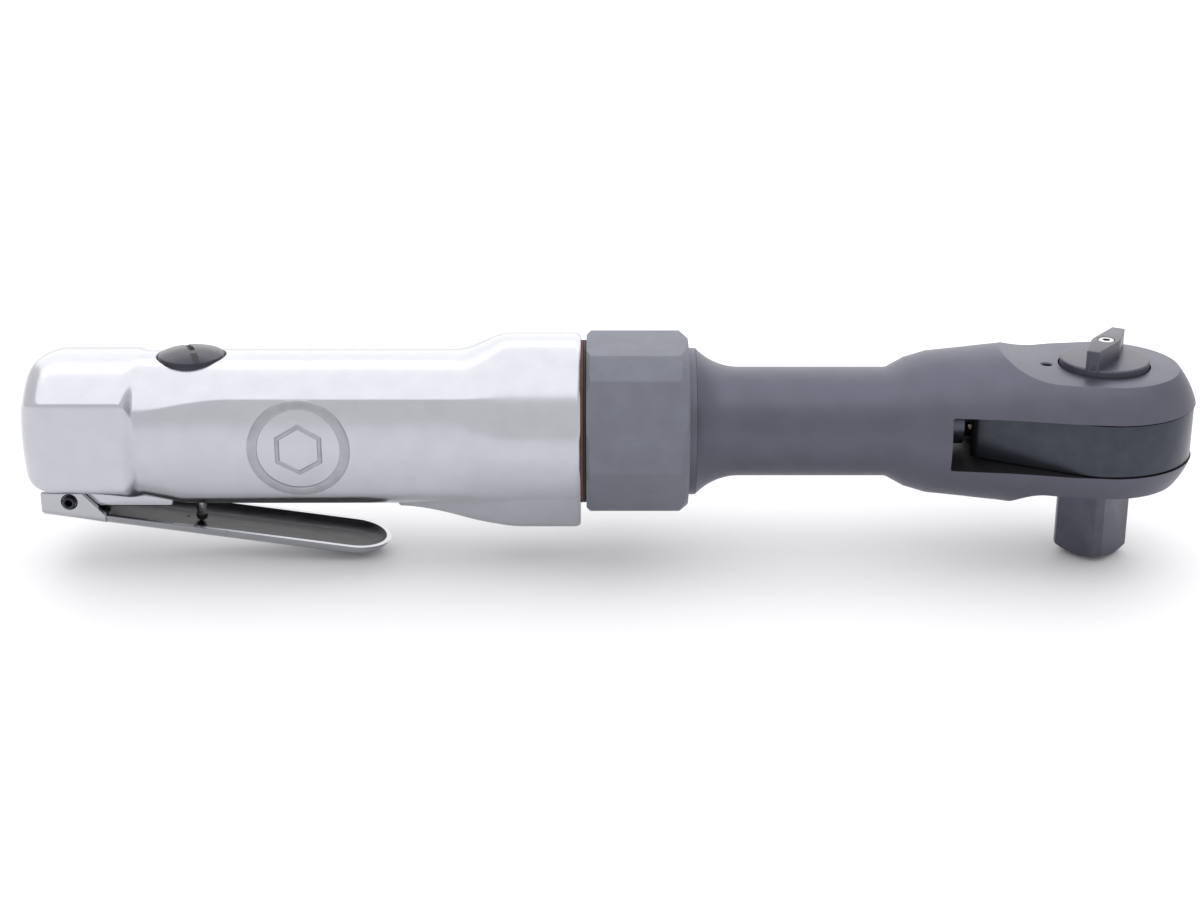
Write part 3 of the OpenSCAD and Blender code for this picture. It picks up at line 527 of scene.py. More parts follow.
def arc_reach(crown, radius, along, across):
    """Distance from the axis to an arc whose crown stands off by crown."""
    c = crown - radius
    return c * along + sqrt(radius ** 2 - c ** 2 * across ** 2)


def arc_through(crown, edge, half):
    """Radius of an arc with its crown at height crown that passes an edge lower down."""
    return (half ** 2 + (crown - edge) ** 2) / 2 / (crown - edge)


class GripForm:
    """Outer form of the cast housing as a reach from the axis."""
    pad_end, pad_ramp, pad_high, pad_low = 22.4, 3.2, 10.6, 9.8
    shoulder, shoulder_len = 94.0, 13.0
    chin, chin_len, chin_normal, chin_flat = 82.0, 28.0, -31.7, 19.8
    tail, rear_face, corner_power = 7.0, 11.8, 60

    def __init__(self):
        self.s = settings("grip")

    def pad_share(self, x): return 1 - smooth((x - self.pad_end) / self.pad_ramp)

    def section(self, x):
        """Crown and radius of the side, top and bottom arcs at x."""
        s, pad = self.s, self.pad_share(x)
        waist = smooth((x - 25) / 22)
        depth = mix(s.bottom, 13.8, 1 - clamp01((x - 10) / 24))
        return ((mix(s.side, s.pad, pad), mix(36, 400, pad)),
                (s.top, mix(mix(20.4, 27.2, waist), arc_through(s.top, self.pad_high, s.pad), pad)),
                (depth, mix(mix(20.4, 21.4, waist), arc_through(depth, self.pad_low, s.pad), pad)))

    def corner(self, x, top=True):
        """Elevation of the corner between the side arc and the top or bottom arc, in degrees."""
        side, high, low = self.section(x)
        near, far = 0.0, 80.0
        for _ in range(30):
            middle = (near + far) / 2
            c, s = cos(radians(middle)), sin(radians(middle))
            other = arc_reach(*(high if top else low), s, c)
            near, far = (middle, far) if arc_reach(*side, c, s) < other else (near, middle)
        return near if top else -near

    def chin_reach(self, x, c, s):
        tilt = radians(self.chin_normal)
        if x < self.chin or s > sin(tilt):
            return 0
        share = smooth((x - self.chin) / self.chin_len)
        return soft_min([mix(self.s.bottom - 0.8, self.s.chin, share) / -s,
                         mix(self.chin_flat - 3.6, self.chin_flat, share)
                         / (cos(tilt) * abs(c) + sin(tilt) * s)], self.corner_power)

    def reach(self, x, angle):
        """Reach from the axis at an elevation in radians, measured from the left side."""
        c, s = cos(angle), sin(angle)
        side, top, bottom = self.section(x)
        grip = soft_min([arc_reach(*side, abs(c), s), arc_reach(*top, s, c), arc_reach(*bottom, -s, c)],
                        self.corner_power)
        body = mix(grip, self.s.barrel, smooth((x - self.shoulder) / self.shoulder_len))
        out = max(body, self.chin_reach(x, c, s))
        if x < self.tail:
            out = mix(self.rear_face, out, sqrt(1 - ((self.tail - x) / self.tail) ** 2))
        return out - 0.6 * max(0, 1 - (SEAM_X - x) / 1.2) ** 2

    def point(self, x, angle, lift=0.0):
        r = self.reach(x, angle) + lift
        return Vector((x, -r * cos(angle), r * sin(angle)))

    def side_at(self, x, z, side=-1):
        """Half width at a height, so that trim can lie on the panel."""
        angle = 0.0
        for _ in range(12):
            angle = asin(max(-1, min(1, z / self.reach(x, angle))))
        return side * self.reach(x, angle) * cos(angle)


def station_list():
    """Places along the housing: close together where the form turns quickly."""
    out, x = [0.0, 0.03, 0.12, 0.27, 0.5, 0.8], 1.2
    while x < SEAM_X - 1.2:
        out.append(x)
        if x < 8: x += 0.5
        elif 21 < x < 27: x += 0.2
        elif 78 < x < 112: x += 0.6
        elif 27 <= x < 50: x += 1.0
        else: x += 2.0
    return out + [SEAM_X - 1.2 * k / 6 for k in range(6, -1, -1)]


def angle_list(form, x):
    """Elevations round a section, with rows on both sides of each corner so that edges stay crisp."""
    blend = smooth((x - form.shoulder) / form.shoulder_len)
    marks = [-90, mix(-62, -60, blend), mix(form.corner(x, False), -39.8, blend),
             mix(form.corner(x, True), 40, blend), 90]
    counts = (14, 12, 34, 22)
    out = []
    for low, high, count in zip(marks, marks[1:], counts):
        for i in range(count):
            t = i / count
            out.append(low + (high - low) * (t - 0.13 * sin(2 * pi * t)))
    right = out + [90]
    left = [180 - a for a in reversed(right[1:-1])]
    return [radians(a) for a in right + left]


def housing_form(form):
    """The housing's closed outer skin: rings of points bridged along the tool."""
    bm = bmesh.new()
    rings = []
    for x in station_list():
        angles = angle_list(form, x)
        dots = [bm.verts.new(form.point(x, a)) for a in angles]
        rings.append([bm.edges.new((a, b)) for a, b in zip(dots, dots[1:] + dots[:1])])
    for one, two in zip(rings, rings[1:]):
        bmesh.ops.bridge_loops(bm, edges=one + two)
    for ring in (rings[0], rings[-1]):
        bmesh.ops.edgeloop_fill(bm, edges=ring)
    return tidy(bm, 0.0001)


def make_housing():
    form = GripForm()
    boss_low, boss_high = 3.0, 31.0
    boss = block((boss_low, -7.1, -17.9), (boss_high, 7.1, -8))
    round_edges(boss, 0.7, 3, lambda e: (e.verts[0].co - e.verts[1].co).length > 5)
    body = Piece("motor_housing_cast", housing_form(form))
    body.carve(boss, operation="UNION")
    plug_r = 7.45
    body.carve(
        lathe([(-5, 0), (-5, 10.6), (2.5, 10.6), (2.5, 9.05), (24, 9.05), (24, 0)], steps=72),
        lathe([(-4, 0), (-4, plug_r), (15.2, plug_r), (15.9, plug_r + 0.45), (30, plug_r + 0.45), (30, 0)],
              Z, (VALVE.x, 0, 0), 96),
        lathe([(-25, 0), (-25, 1.25), (-13.2, 1.25), (-13.2, 3.05), (-11, 3.05), (-11, 5), (-3, 5), (-3, 0)],
              Z, (VALVE.x, 0, 0), 64),
        lathe([(-20, 0), (-20, 1.47), (20, 1.47), (20, 0)], Y, (HINGE.x, 0, HINGE.z), 48),
        lathe([(47.5, 0), (47.5, 12.9), (140, 12.9), (140, 0)], steps=96))
    slots = []
    for y in (-5, 0, 5):
        slot = block((107, y - 0.9, -30), (116, y + 0.9, -14))
        round_edges(slot, 0.89, 6, lambda e: abs(e.verts[0].co.z - e.verts[1].co.z) > 5)
        slots.append(slot)
    body.carve(*slots)
    spigot = lathe([(SEAM_X - 2, 12.9), (SEAM_X - 2, 17), (133.9, 17), (134.4, 16.5), (134.4, 12.9)],
                   closed=True)
    body.carve(spigot, operation="UNION")
    body.merge(0.002)
    return body.done("body", "polished_aluminium", "motor_housing", sharp=28)


def ring_on_panel(form, x, inner, outer, height, side, segments=120):
    """A raised flat ring that follows the side panel, with bevelled edges."""
    bm = bmesh.new()
    width = outer - inner
    chamfer = min(0.45, width / 4)
    profile = [(inner - chamfer * 0.2, -0.35), (inner + chamfer * 0.3, height * 0.7), (inner + chamfer, height),
               (outer - chamfer, height), (outer - chamfer * 0.3, height * 0.7), (outer + chamfer * 0.2, -0.35)]
    loops = []
    for r, lift in profile:
        dots = []
        for i in range(segments):
            a = 2 * pi * i / segments
            px, pz = x + r * cos(a), -0.5 + r * sin(a)
            py = form.side_at(px, pz, side)
            dots.append(bm.verts.new((px, py + side * lift, pz)))
        loops.append([bm.edges.new((a, b)) for a, b in zip(dots, dots[1:] + dots[:1])])
    for one, two in zip(loops, loops[1:] + loops[:1]):
        bmesh.ops.bridge_loops(bm, edges=one + two)
    bmesh.ops.recalc_face_normals(bm, faces=bm.faces)
    return bm


def hexagon_on_panel(form, x, across, width, height, side):
    """A raised hexagon outline that follows the side panel."""
    bm = bmesh.new()
    chamfer = width / 4
    profile = [(across - chamfer * 0.2, -0.35), (across + chamfer, height), (across + width - chamfer, height),
               (across + width + chamfer * 0.2, -0.35)]
    loops = []
    steps = 10
    for r, lift in profile:
        corners = [(r * cos(radians(60 * k + 30)), r * sin(radians(60 * k + 30))) for k in range(6)]
        dots = []
        for (ax, az), (bx, bz) in zip(corners, corners[1:] + corners[:1]):
            for i in range(steps):
                px, pz = x + mix(ax, bx, i / steps), -0.5 + mix(az, bz, i / steps)
                dots.append(bm.verts.new((px, form.side_at(px, pz, side) + side * lift, pz)))
        loops.append([bm.edges.new((a, b)) for a, b in zip(dots, dots[1:] + dots[:1])])
    for one, two in zip(loops, loops[1:] + loops[:1]):
        bmesh.ops.bridge_loops(bm, edges=one + two)
    bmesh.ops.recalc_face_normals(bm, faces=bm.faces)
    return bm


def make_medallions():
    """A plain ring with a hexagon outline on each side panel."""
    form, s = GripForm(), settings("grip")
    for name, side in (("left", -1), ("right", 1)):
        ring = ring_on_panel(form, s.medallion_x, s.medallion - 2.3, s.medallion, 0.32, side)
        hexagon = hexagon_on_panel(form, s.medallion_x, 4.6, 1.5, 0.3, side)
        Piece("medallion_" + name, joined(ring, hexagon)).done("body", "medallion_metal", sharp=28)


# ---------------------------------------------------------------- inlet, throttle and regulator

def make_inlet():
    """Steel inlet bushing: a flanged sleeve with thread rings inside."""
    thread = [(0, 7.2), (0.9, 6.3)]
    turns = 8
    for k in range(turns):
        x = 1.2 + 1.34 * k
        thread += [(x, 6.1), (x + 0.55, 5.6), (x + 0.75, 5.6), (x + 1.2, 6.1)]
    bushing = lathe([(24, 5.6), (24, 9), (2.5, 9), (2.5, 10.5), (0.4, 10.5), (0, 10.1)] + thread
                    + [(12.2, 4.6), (22, 4.6), (22, 7.1), (23.9, 7.1)], steps=96, closed=True)
    Piece("inlet_bushing_steel", bushing).done("body", "bright_steel", "inlet_bushing", sharp=30)


def make_plug():
    """Domed regulator plug with a screwdriver slot across part of its face."""
    radius, dome, top = 7.4, 1.5, settings("grip").top
    ball = (radius ** 2 + dome ** 2) / 2 / dome
    crown = [(top + dome - ball + ball * cos(radians(a)), ball * sin(radians(a)))
             for a in [degrees(asin((radius - 0.25) / ball)) * k / 14 for k in range(15)]]
    body = [(-1, 0), (-1, 5.6), (-1, radius)] + [(top - 1.1, radius), (top - 0.35, radius - 0.05)]
    plug = Piece("regulator_plug_turned", lathe(body + crown[::-1], Z, (VALVE.x, 0, 0), 96))
    slot = block((-0.7, -1.5, top + dome - 1.6), (0.7, radius + 1, top + dome + 2))
    turned(slot, 20)
    bmesh.ops.translate(slot, verts=slot.verts, vec=(VALVE.x, 0, 0))
    bore = lathe([(-3, 0), (-3, 5.6), (8, 5.6), (8, 0)], Z, (VALVE.x, 0, 0), 64)
    port = block((VALVE.x - 9, -4, -3), (VALVE.x, 4, 5.5))
    plug.carve(slot, bore, port).merge(0.002)
    plug.bevel(0.12, 2, 40, lambda e: min(v.co.z for v in e.verts) > top - 0.3)
    lean = radians(20)
    # The slot's walls and floor get painted shade: a near-black second finish where the slot lies in shade.
    plug.done("regulator", "gunmetal", "regulator_plug", sharp=35, second="painted_slot_shade",
              where=lambda at, out: top - 0.8 < at.z < top + dome - 0.3 and hypot(at.x - VALVE.x, at.y) < 6.9
              and abs((at.x - VALVE.x) * cos(lean) + at.y * sin(lean)) < 0.72)


def make_stem():
    """Throttle valve stem with a dark rounded foot."""
    low, high = box_mm("valve_stem")
    centre = (VALVE.x, 0, 0)
    stem = lathe([(low.z + 1.1, 0), (low.z + 1.1, 1.2), (high.z, 1.2), (high.z, 0)], Z, centre, 32)
    Piece("valve_stem_ground", stem).done("valve", "bright_steel", "valve_stem")
    foot = [(z, max(r, 0)) for r, z in arc(0, low.z + 1.35, 1.35, -90, 0, 8)]
    foot = lathe(foot + [(low.z + 1.6, 1.35), (low.z + 1.75, 1.2), (low.z + 1.75, 0)], Z, centre, 32)
    Piece("valve_stem_foot", foot).done("valve", "black_rubber")


def make_spring():
    """Throttle spring: it stands under the plug and shortens as the valve lifts."""
    spring = Piece("throttle_spring_wound", copy_of("throttle_spring"))
    coil = spring.done("body", "bright_steel", "throttle_spring")
    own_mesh(coil)


# ---------------------------------------------------------------- lever

LEVER_SLOPE = 8.0
LEVER_EDGE = Vector((15.6, 0, -19.4))


def edge_height(x):
    """Height of the lever's top edge at x."""
    return LEVER_EDGE.z - (x - LEVER_EDGE.x) * tan(radians(LEVER_SLOPE))


def plan_loop(bm, rear, tip, half_width, z, steps=28):
    """A closed loop: two straight sides, a square rear and a full round tip."""
    centre = tip - half_width
    plan = [(rear, half_width), (rear, 0.0), (rear, -half_width)]
    plan += [(mix(rear, centre, k / 12), -half_width) for k in range(1, 12)]
    plan += arc(centre, 0, half_width, -90, 90, steps)
    plan += [(mix(centre, rear, k / 12), half_width) for k in range(1, 12)]
    dots = [bm.verts.new((x, y, z)) for x, y in plan]
    return [bm.edges.new((a, b)) for a, b in zip(dots, dots[1:] + dots[:1])]


def pressed_trough():
    """The sloping trough, pressed from sheet, open side up and closed round the tip."""
    half, sheet, depth, corner = 9.2, 1.1, 3.0, 5.0
    tip = (79.2 - LEVER_EDGE.x) / cos(radians(LEVER_SLOPE))
    rear = -22.0
    base = half - corner
    outer = [(base + corner * cos(radians(a)), corner - depth + corner * sin(radians(a)))
             for a in [-90 + 64 * k / 10 for k in range(11)]]
    inner_r = corner - sheet
    inner = [(base + inner_r * cos(radians(a)), corner - depth + inner_r * sin(radians(a)))
             for a in [-33 - 57 * k / 10 for k in range(11)]]
    rim = [(outer[-1][0] + 0.04, -0.1), (outer[-1][0] - 0.1, 0.0), (inner[0][0] + 0.12, 0.0)]
    profile = outer[:-1] + rim + inner
    widest = max(w for w, _ in profile)
    bm = bmesh.new()
    loops = [plan_loop(bm, rear + widest - w, tip - widest + w, w, z) for w, z in profile]
    for one, two in zip(loops, loops[1:]):
        bmesh.ops.bridge_loops(bm, edges=one + two)
    for loop in (loops[0], loops[-1]):
        bmesh.ops.edgeloop_fill(bm, edges=loop)
    tidy(bm, 0.0005)
    turned(bm, LEVER_SLOPE, "Y")
    bmesh.ops.translate(bm, verts=bm.verts, vec=LEVER_EDGE)
    return bm


def is_inside(at, out):
    """Faces of the lever's inner side, below its top edge."""
    lean = radians(LEVER_SLOPE)
    below = (at.z - edge_height(at.x)) * cos(lean)
    centre_y = 4.2
    toward = out.z > 0.9 and below < -1.2
    curved = abs(at.y) > centre_y - 0.3 and out.y * at.y < -0.05 and below < -0.02
    tip = at.x > 68 and out.x < -0.05 and out.z > 0
    return at.x > 2.5 and below < -0.02 and (toward or curved or tip)


def make_lever():
    """Lever: the trough and, at the hinge, two upright cheeks joined by a floor."""
    cheek, wall, top, rear, front = 8.8, 1.4, -14.2, 1.8, 15.9
    trough = Piece("throttle_lever_pressed", pressed_trough())
    trough.carve(block((-20, -20, -40), (rear, 20, 0)))
    side = prism([(rear, top), (11, top), (front, edge_height(front)), (front, edge_height(front) - 2),
                  (rear, edge_height(rear) - 1.6)], -cheek, cheek, Y)
    lower = [e for e in side.edges if abs(e.verts[0].co.y) > 8 and e.verts[0].co.y * e.verts[1].co.y > 0
             and max(v.co.z for v in e.verts) < -18.5 and abs(e.verts[0].co.x - e.verts[1].co.x) > 5]
    bmesh.ops.bevel(side, geom=lower, offset=1.3, offset_type="OFFSET", segments=6, profile=0.5, affect="EDGES",
                    material=-1)
    trough.carve(side, operation="UNION")
    inside = prism([(-5, -10), (30, -10), (30, edge_height(30) + 0.1), (front, edge_height(front) - 1.0),
                    (-5, edge_height(-5) - 0.6)], wall - cheek, cheek - wall, Y)
    trough.carve(inside)
    trough.carve(lathe([(-20, 0), (-20, 1.5), (20, 1.5), (20, 0)], Y, (HINGE.x, 0, HINGE.z), 48),
                 lathe([(-cheek - 1, 0), (-cheek - 1, 2.9), (-cheek + 0.35, 1.55), (-cheek + 0.35, 0)], Y,
                       (HINGE.x, 0, HINGE.z), 48),
                 lathe([(cheek + 1, 0), (cheek + 1, 2.9), (cheek - 0.35, 1.55), (cheek - 0.35, 0)], Y,
                       (HINGE.x, 0, HINGE.z), 48),
                 lathe([(-40, 0), (-40, 0.4), (-10, 0.4), (-10, 0)], Z, (32.6, 1.3, 0), 16))
    trough.merge(0.002)
    # The inner faces get painted shade through the second finish.
    trough.done("lever", "lever_steel", "throttle_lever", sharp=30, second="trough_painted_shade", where=is_inside)
    half = middle_mm("lever_pin").y - box_mm("lever_pin")[0].y
    pin = lathe([(-half, 0.95), (-half, 1.2), (-half + 0.25, 1.45), (half - 0.25, 1.45), (half, 1.2),
                 (half, 0.95), (half - 0.15, 0.8), (-half + 0.15, 0.8)],
                Y, (HINGE.x, 0, HINGE.z), 48, closed=True)
    Piece("lever_pin_rolled", pin).done("body", "gunmetal", "lever_pin", sharp=35)


# ---------------------------------------------------------------- seam and clamp nut

def seam_ring(name, start, end, radius, chamfer, slot, node):
    """A thin ring between the housings, its outer edges eased."""
    ring = lathe([(start, 17.06), (start, radius - chamfer), (start + chamfer, radius), (end - chamfer, radius),
                  (end, radius - chamfer), (end, 17.06)], steps=128, closed=True)
    Piece(name, ring).done("body", slot, node, sharp=35)


def make_nut():
    """Clamp nut: six wide faces and six corner flats, chamfered towards the head."""
    start, end = NUT_LOW.x, NUT_HIGH.x
    across, wide, narrow, turn = 38.3, 20.5, 9.5, 5.4
    radius = across / 2 / cos(radians(wide))
    outline = [(-radius * cos(radians(60 * k + turn + side * narrow)),
                -radius * sin(radians(60 * k + turn + side * narrow))) for k in range(6) for side in (-1, 1)]
    sides = prism(outline, start, end, X)
    along = [e for e in sides.edges if abs(e.verts[0].co.x - e.verts[1].co.x) > 5]
    bmesh.ops.bevel(sides, geom=along, offset=0.22, offset_type="OFFSET", segments=3, profile=0.5,
                    affect="EDGES", material=-1)
    nut = Piece("clamp_nut_milled", sides)
    nut.carve(lathe([(start, 0), (start, radius - 1), (start + 2, radius + 1), (end - 3.2, radius + 1),
                     (end, radius - 1.7), (end, 0)], steps=160), operation="INTERSECT")
    nut.merge(0.002).flatten()
    nut.bevel(0.25, 2, 18, lambda e: max(v.co.x for v in e.verts) > end - 3.6 or min(
        v.co.x for v in e.verts) < start + 2.4)
    nut.carve(lathe([(start - 2, 0), (start - 2, 17.1), (139, 17.1), (139, 18), (142, 18), (142, 16.7),
                     (end - 0.7, 16.7), (end + 1, 18.4), (end + 1, 0)], steps=128))
    nut.merge(0.002).done("body", "nut_steel", "clamp_nut", sharp=25)
    seam_ring("joint_gasket_pressed", SEAM_X, 123.3, 18.3, 0.08, "brown_fibre", "joint_gasket")
    seam_ring("spacer_ring_moulded", 123.3, start - 0.05, 18.3, 0.15, "black_rubber", "spacer_ring")


# ---------------------------------------------------------------- ratchet housing

def head_profile(s):
    """Half section of the ratchet housing from its rear spigot to the rounded end."""
    flange, flange_end, flare, neck = 16.5, 148.3, 13.6, s.neck
    neck_start = flange_end + sqrt(flare ** 2 - (flare + neck - flange) ** 2)
    turn = degrees(acos((neck_start - flange_end) / flare))
    swell = [(195.2, 14.5), (200.1, 15.95), (207.4, 16.7), (212.7, 17.3), (216.2, 17.65), (220, 18.2),
             (225, 19.1), (230, 20.1)]
    end = [(DRIVE.x + s.end * a, 21.0 * b) for a, b in arc(0, 0, 1, 90, 0, 40)]
    return ([(121.6, 0), (121.6, 12.85), (134.5, 12.85), (134.5, flange), (140, flange), (140, 15.2),
             (142, 15.2), (142, flange), (flange_end - 0.3, flange), (flange_end - 0.06, flange - 0.08)]
            + arc(neck_start, neck + flare, flare, 180 + turn, 270, 24)
            + [(190.6, neck), (191.3, neck + 0.12)] + swell + end)


def milled_flat(x, z, r, way=1):
    """What a cutter takes off the head to leave a flat with a round run-out towards the neck."""
    outline = [(x + 60, z + 30), (x + 60, z)] + arc(x, z + r, r, 270, 195, 24) + [(x - r, z + 30)]
    return prism([(a, way * b) for a, b in outline], -40, 40, Y)


def make_head():
    """Ratchet housing: neck, swelling head with milled flats, yoke slot and bores."""
    s = settings("head")
    head = Piece("ratchet_housing_turned", lathe(head_profile(s), steps=192))
    head.carve(milled_flat(226.9, s.top, 18.2), milled_flat(226, s.bottom, 8, -1))
    head.merge(0.002)
    head.bevel(0.18, 2, 24, lambda e: min(v.co.x for v in e.verts) > 200)
    slot = block((204, -40, -s.slot), (284, 40, s.slot))
    round_edges(slot, 0.6, 4, lambda e: all(abs(v.co.x - 204) < 0.1 for v in e.verts)
                and abs(e.verts[0].co.y - e.verts[1].co.y) > 5)
    head.carve(slot)
    head.merge(0.002)
    head.bevel(0.2, 2, 40, lambda e: all(abs(abs(v.co.z) - s.slot) < 0.02 for v in e.verts)
               and max(hypot(v.co.x - DRIVE.x, v.co.y) for v in e.verts) > 16)
    place = (DRIVE.x, 0, 0)
    head.carve(lathe([(0, 0), (0, 9.05), (9, 9.05), (9, 10.2), (40, 10.2), (40, 0)], Z, place, 128),
               lathe([(0, 0), (0, 12.25), (-10.6, 12.25), (-10.6, 13.1), (-11.8, 13.1), (-11.8, 12.25),
                      (-40, 12.25), (-40, 0)], Z, place, 128),
               lathe([(0, 0), (0, 1.15), (s.top - 0.25, 1.15), (s.top + 0.3, 1.7), (40, 1.7), (40, 0)], Z,
                     (226.6, 0, 0), 48),
               lathe([(120, 0), (120, 11.05), (129, 11.05), (129, 6.5), (190.1, 6.5), (190.1, 8.05),
                      (205, 8.05), (205, 0)], steps=96))
    # Faces inside the yoke slot, its end wall and the neck's bores get painted shade: a near-black second
    # finish where these hollows lie in shade.
    head.merge(0.002).done("body", "satin_black_steel", "ratchet_housing", sharp=25, second="painted_slot_shade",
                           where=lambda at, out: abs(at.z) < s.slot + 0.02 and (
                               at.x > 203.9 and abs(out.z) > 0.9 and abs(at.z) > s.slot - 0.1
                               or 203.5 < at.x < 204.7 and out.x > 0.5
                               or 190 < at.x < 205 and hypot(at.y, at.z) < 8.2))


def make_yoke():
    """Yoke: a rounded plate with inner teeth and a fork for the crank's bushing."""
    s = settings("head")
    end, half, tail, tail_half, tail_r = 20.3, 6.0, 209.6 - DRIVE.x, 8.0, 2.5
    reach = hypot(tail + tail_r, tail_half)
    touch = 180 - degrees(atan2(tail_half, -(tail + tail_r))) - degrees(acos(s.yoke / reach))
    upper = [(a * (end / s.yoke if a > 0 else 1), b) for a, b in arc(0, 0, s.yoke, 0, touch, 60)]
    upper += arc(tail + tail_r, tail_half - tail_r, tail_r, 110, 180, 10)
    outline = upper + [(a, -b) for a, b in reversed(upper[1:])]
    plate = prism(outline, -half, half, Z, (DRIVE.x, 0, 0))
    round_edges(plate, 0.35, 3, lambda e: abs(e.verts[0].co.z - e.verts[1].co.z) < 1)
    teeth = 64
    radii = (12.6, 13.6)
    inside = [(radii[i % 2] * cos(pi * i / teeth), radii[i % 2] * sin(pi * i / teeth))
              for i in range(2 * teeth)]
    fork = box_mm("drive_bushing")
    fork_half = (fork[1].y - fork[0].y) / 2 + 2.9
    yoke = Piece("ratchet_yoke_plate", plate)
    yoke.carve(prism(inside, -10, 10, Z, (DRIVE.x, 0, 0)),
               block((DRIVE.x + tail - 1, -fork_half, -10), (219.6, fork_half, 10)))
    yoke.merge(0.002).done("yoke", "yoke_steel", "ratchet_yoke", sharp=28)


# ---------------------------------------------------------------- anvil, ball and reverse knob

def copy_of(node):
    """A CAD node's mesh in millimetres with its points joined and its flats whole."""
    bm = bmesh.new()
    bm.from_mesh(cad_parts[node].data)
    bmesh.ops.scale(bm, verts=bm.verts, vec=(1 / MM,) * 3)
    bmesh.ops.remove_doubles(bm, verts=bm.verts, dist=0.002)
    bmesh.ops.dissolve_limit(bm, angle_limit=radians(0.3), use_dissolve_boundaries=False, verts=bm.verts,
                             edges=bm.edges, delimit=set())
    return bm


def make_anvil():
    """Anvil and square drive: long edges and the tip's edge are eased."""
    anvil = Piece("anvil_ground", copy_of("anvil"))
    anvil.bevel(0.22, 2, 30, lambda e: max(v.co.z for v in e.verts) < -12.6)
    anvil.done("drive", "drive_steel", "anvil", sharp=30)
    centre = middle_mm("socket_ball")
    radius = (box_mm("socket_ball")[1].z - box_mm("socket_ball")[0].z) / 2
    ball = bmesh.new()
    bmesh.ops.create_uvsphere(ball, u_segments=48, v_segments=24, radius=radius)
    bmesh.ops.translate(ball, verts=ball.verts, vec=centre)
    Piece("socket_ball_polished", ball).done("ball", "bright_steel", "socket_ball")


def make_knob():
    """Reverse knob: a thick disc with a waisted fin across it and a screw in the middle."""
    disc_low, disc_top, disc_r = 9.9, 15.1, 9.85
    fin_len, fin_end, fin_mid, skew, fin_turn = 19.5, 1.47, 3.1, 0.68, 62
    place = (DRIVE.x, 0, 0)
    disc = lathe([(-5.2, 0), (-5.2, 4.2), (-4.9, 4.5), (disc_low, 4.5), (disc_low, disc_r - 0.3),
                  (disc_low + 0.3, disc_r)]
                 + arc(disc_top - 0.5, disc_r - 0.5, 0.5, 90, 0, 6) + [(disc_top, 0)], Z, place, 128)
    fin = prism([(-fin_len / 2, -fin_end), (skew, -fin_mid), (fin_len / 2, -fin_end), (fin_len / 2, fin_end),
                 (-skew, fin_mid), (-fin_len / 2, fin_end)], disc_top - 1, KNOB_TOP, Z)
    bmesh.ops.bevel(fin, geom=[e for e in fin.edges if abs(e.verts[0].co.z - e.verts[1].co.z) > 1
                               and abs(e.verts[0].co.x) < 3], offset=1.0, offset_type="OFFSET", segments=5,
                    profile=0.5, affect="EDGES", material=-1)
    bmesh.ops.bevel(fin, geom=[e for e in fin.edges if min(v.co.z for v in e.verts) > disc_top], offset=0.3,
                    offset_type="OFFSET", segments=3, profile=0.5, affect="EDGES", material=-1)
    turned(fin, fin_turn)
    bmesh.ops.translate(fin, verts=fin.verts, vec=place)
    knob = Piece("reverse_knob_cast", disc)
    knob.carve(fin, operation="UNION")
    cross = lathe([(-10, 0), (-10, 1.25), (10, 1.25), (10, 0)], X, steps=48)
    turned(cross, -20)
    bmesh.ops.translate(cross, verts=cross.verts, vec=place)
    knob.carve(lathe([(6, 0), (6, 1.02), (KNOB_TOP - 2.5, 1.02), (KNOB_TOP - 2.5, 1.92), (KNOB_TOP + 2, 1.92),
                      (KNOB_TOP + 2, 0)], Z, place, 48), cross)
    knob.merge(0.002).done("knob", "knob_oxide", "reverse_knob", sharp=30)
    low = box_mm("knob_screw")[0].z
    top = KNOB_TOP - 0.05
    shank = [(low, 0), (low, 1), (top - 2.4, 1), (top - 2.4, 1.9), (top - 0.25, 1.9), (top, 1.65), (top, 0)]
    screw = Piece("knob_screw_socket", lathe(shank, Z, place, 48))
    screw.carve(prism(arc(0, 0, 0.95, 0, 300, 5), top - 1.5, top + 2, Z, place))
    screw.merge(0.002).done("knob", "bright_steel", "knob_screw", sharp=30)


# ---------------------------------------------------------------- kept CAD pieces

KEPT = {
    "bronze": ["inlet_screen", "throttle_seat", "crank_bushing", "drive_bushing", "thrust_washer"],
    "bright_steel": ["throttle_valve", "rear_end_plate", "rear_bearing", "cylinder_liner",
                     "cylinder_dowel", "front_end_plate", "front_bearing", "planet_gear_1", "planet_gear_2",
                     "planet_gear_3", "planet_pins", "crank_bearing", "anvil_retaining_ring", "ball_spring",
                     "pawl_pins", "pawl_1", "pawl_2", "selector_plunger_1", "selector_plunger_2",
                     "plunger_spring"],
    "black_rubber": ["stem_seal", "regulator_seal"],
    "drive_steel": ["rotor", "ring_gear", "crankshaft", "nut_retaining_ring"],
    "vane_phenolic": ["rotor_blade_%d" % i for i in range(1, 6)],
}


def finish_kept():
    """Inner pieces keep their CAD mesh and get their finish."""
    for slot, nodes in KEPT.items():
        for node in nodes:
            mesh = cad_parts[node].data
            mesh.materials.clear()
            mesh.materials.append(finish(slot))


# ---------------------------------------------------------------- studio

def plain_material(name, tone, rough):
    f = Finish(name)
    f.set(Base_Color=tone, Roughness=rough)
    return f.material


def area_light(name, place, aim, size, power):
    lamp = bpy.data.lights.new(name, "AREA")
    lamp.shape, lamp.size, lamp.size_y = "RECTANGLE", size[0], size[1]
    lamp.energy = power
    holder = bpy.data.objects.new(name, lamp)
    bpy.context.scene.collection.objects.link(holder)
    holder.location = place
    holder.rotation_euler = (Vector(aim) - Vector(place)).to_track_quat("-Z", "Y").to_euler()


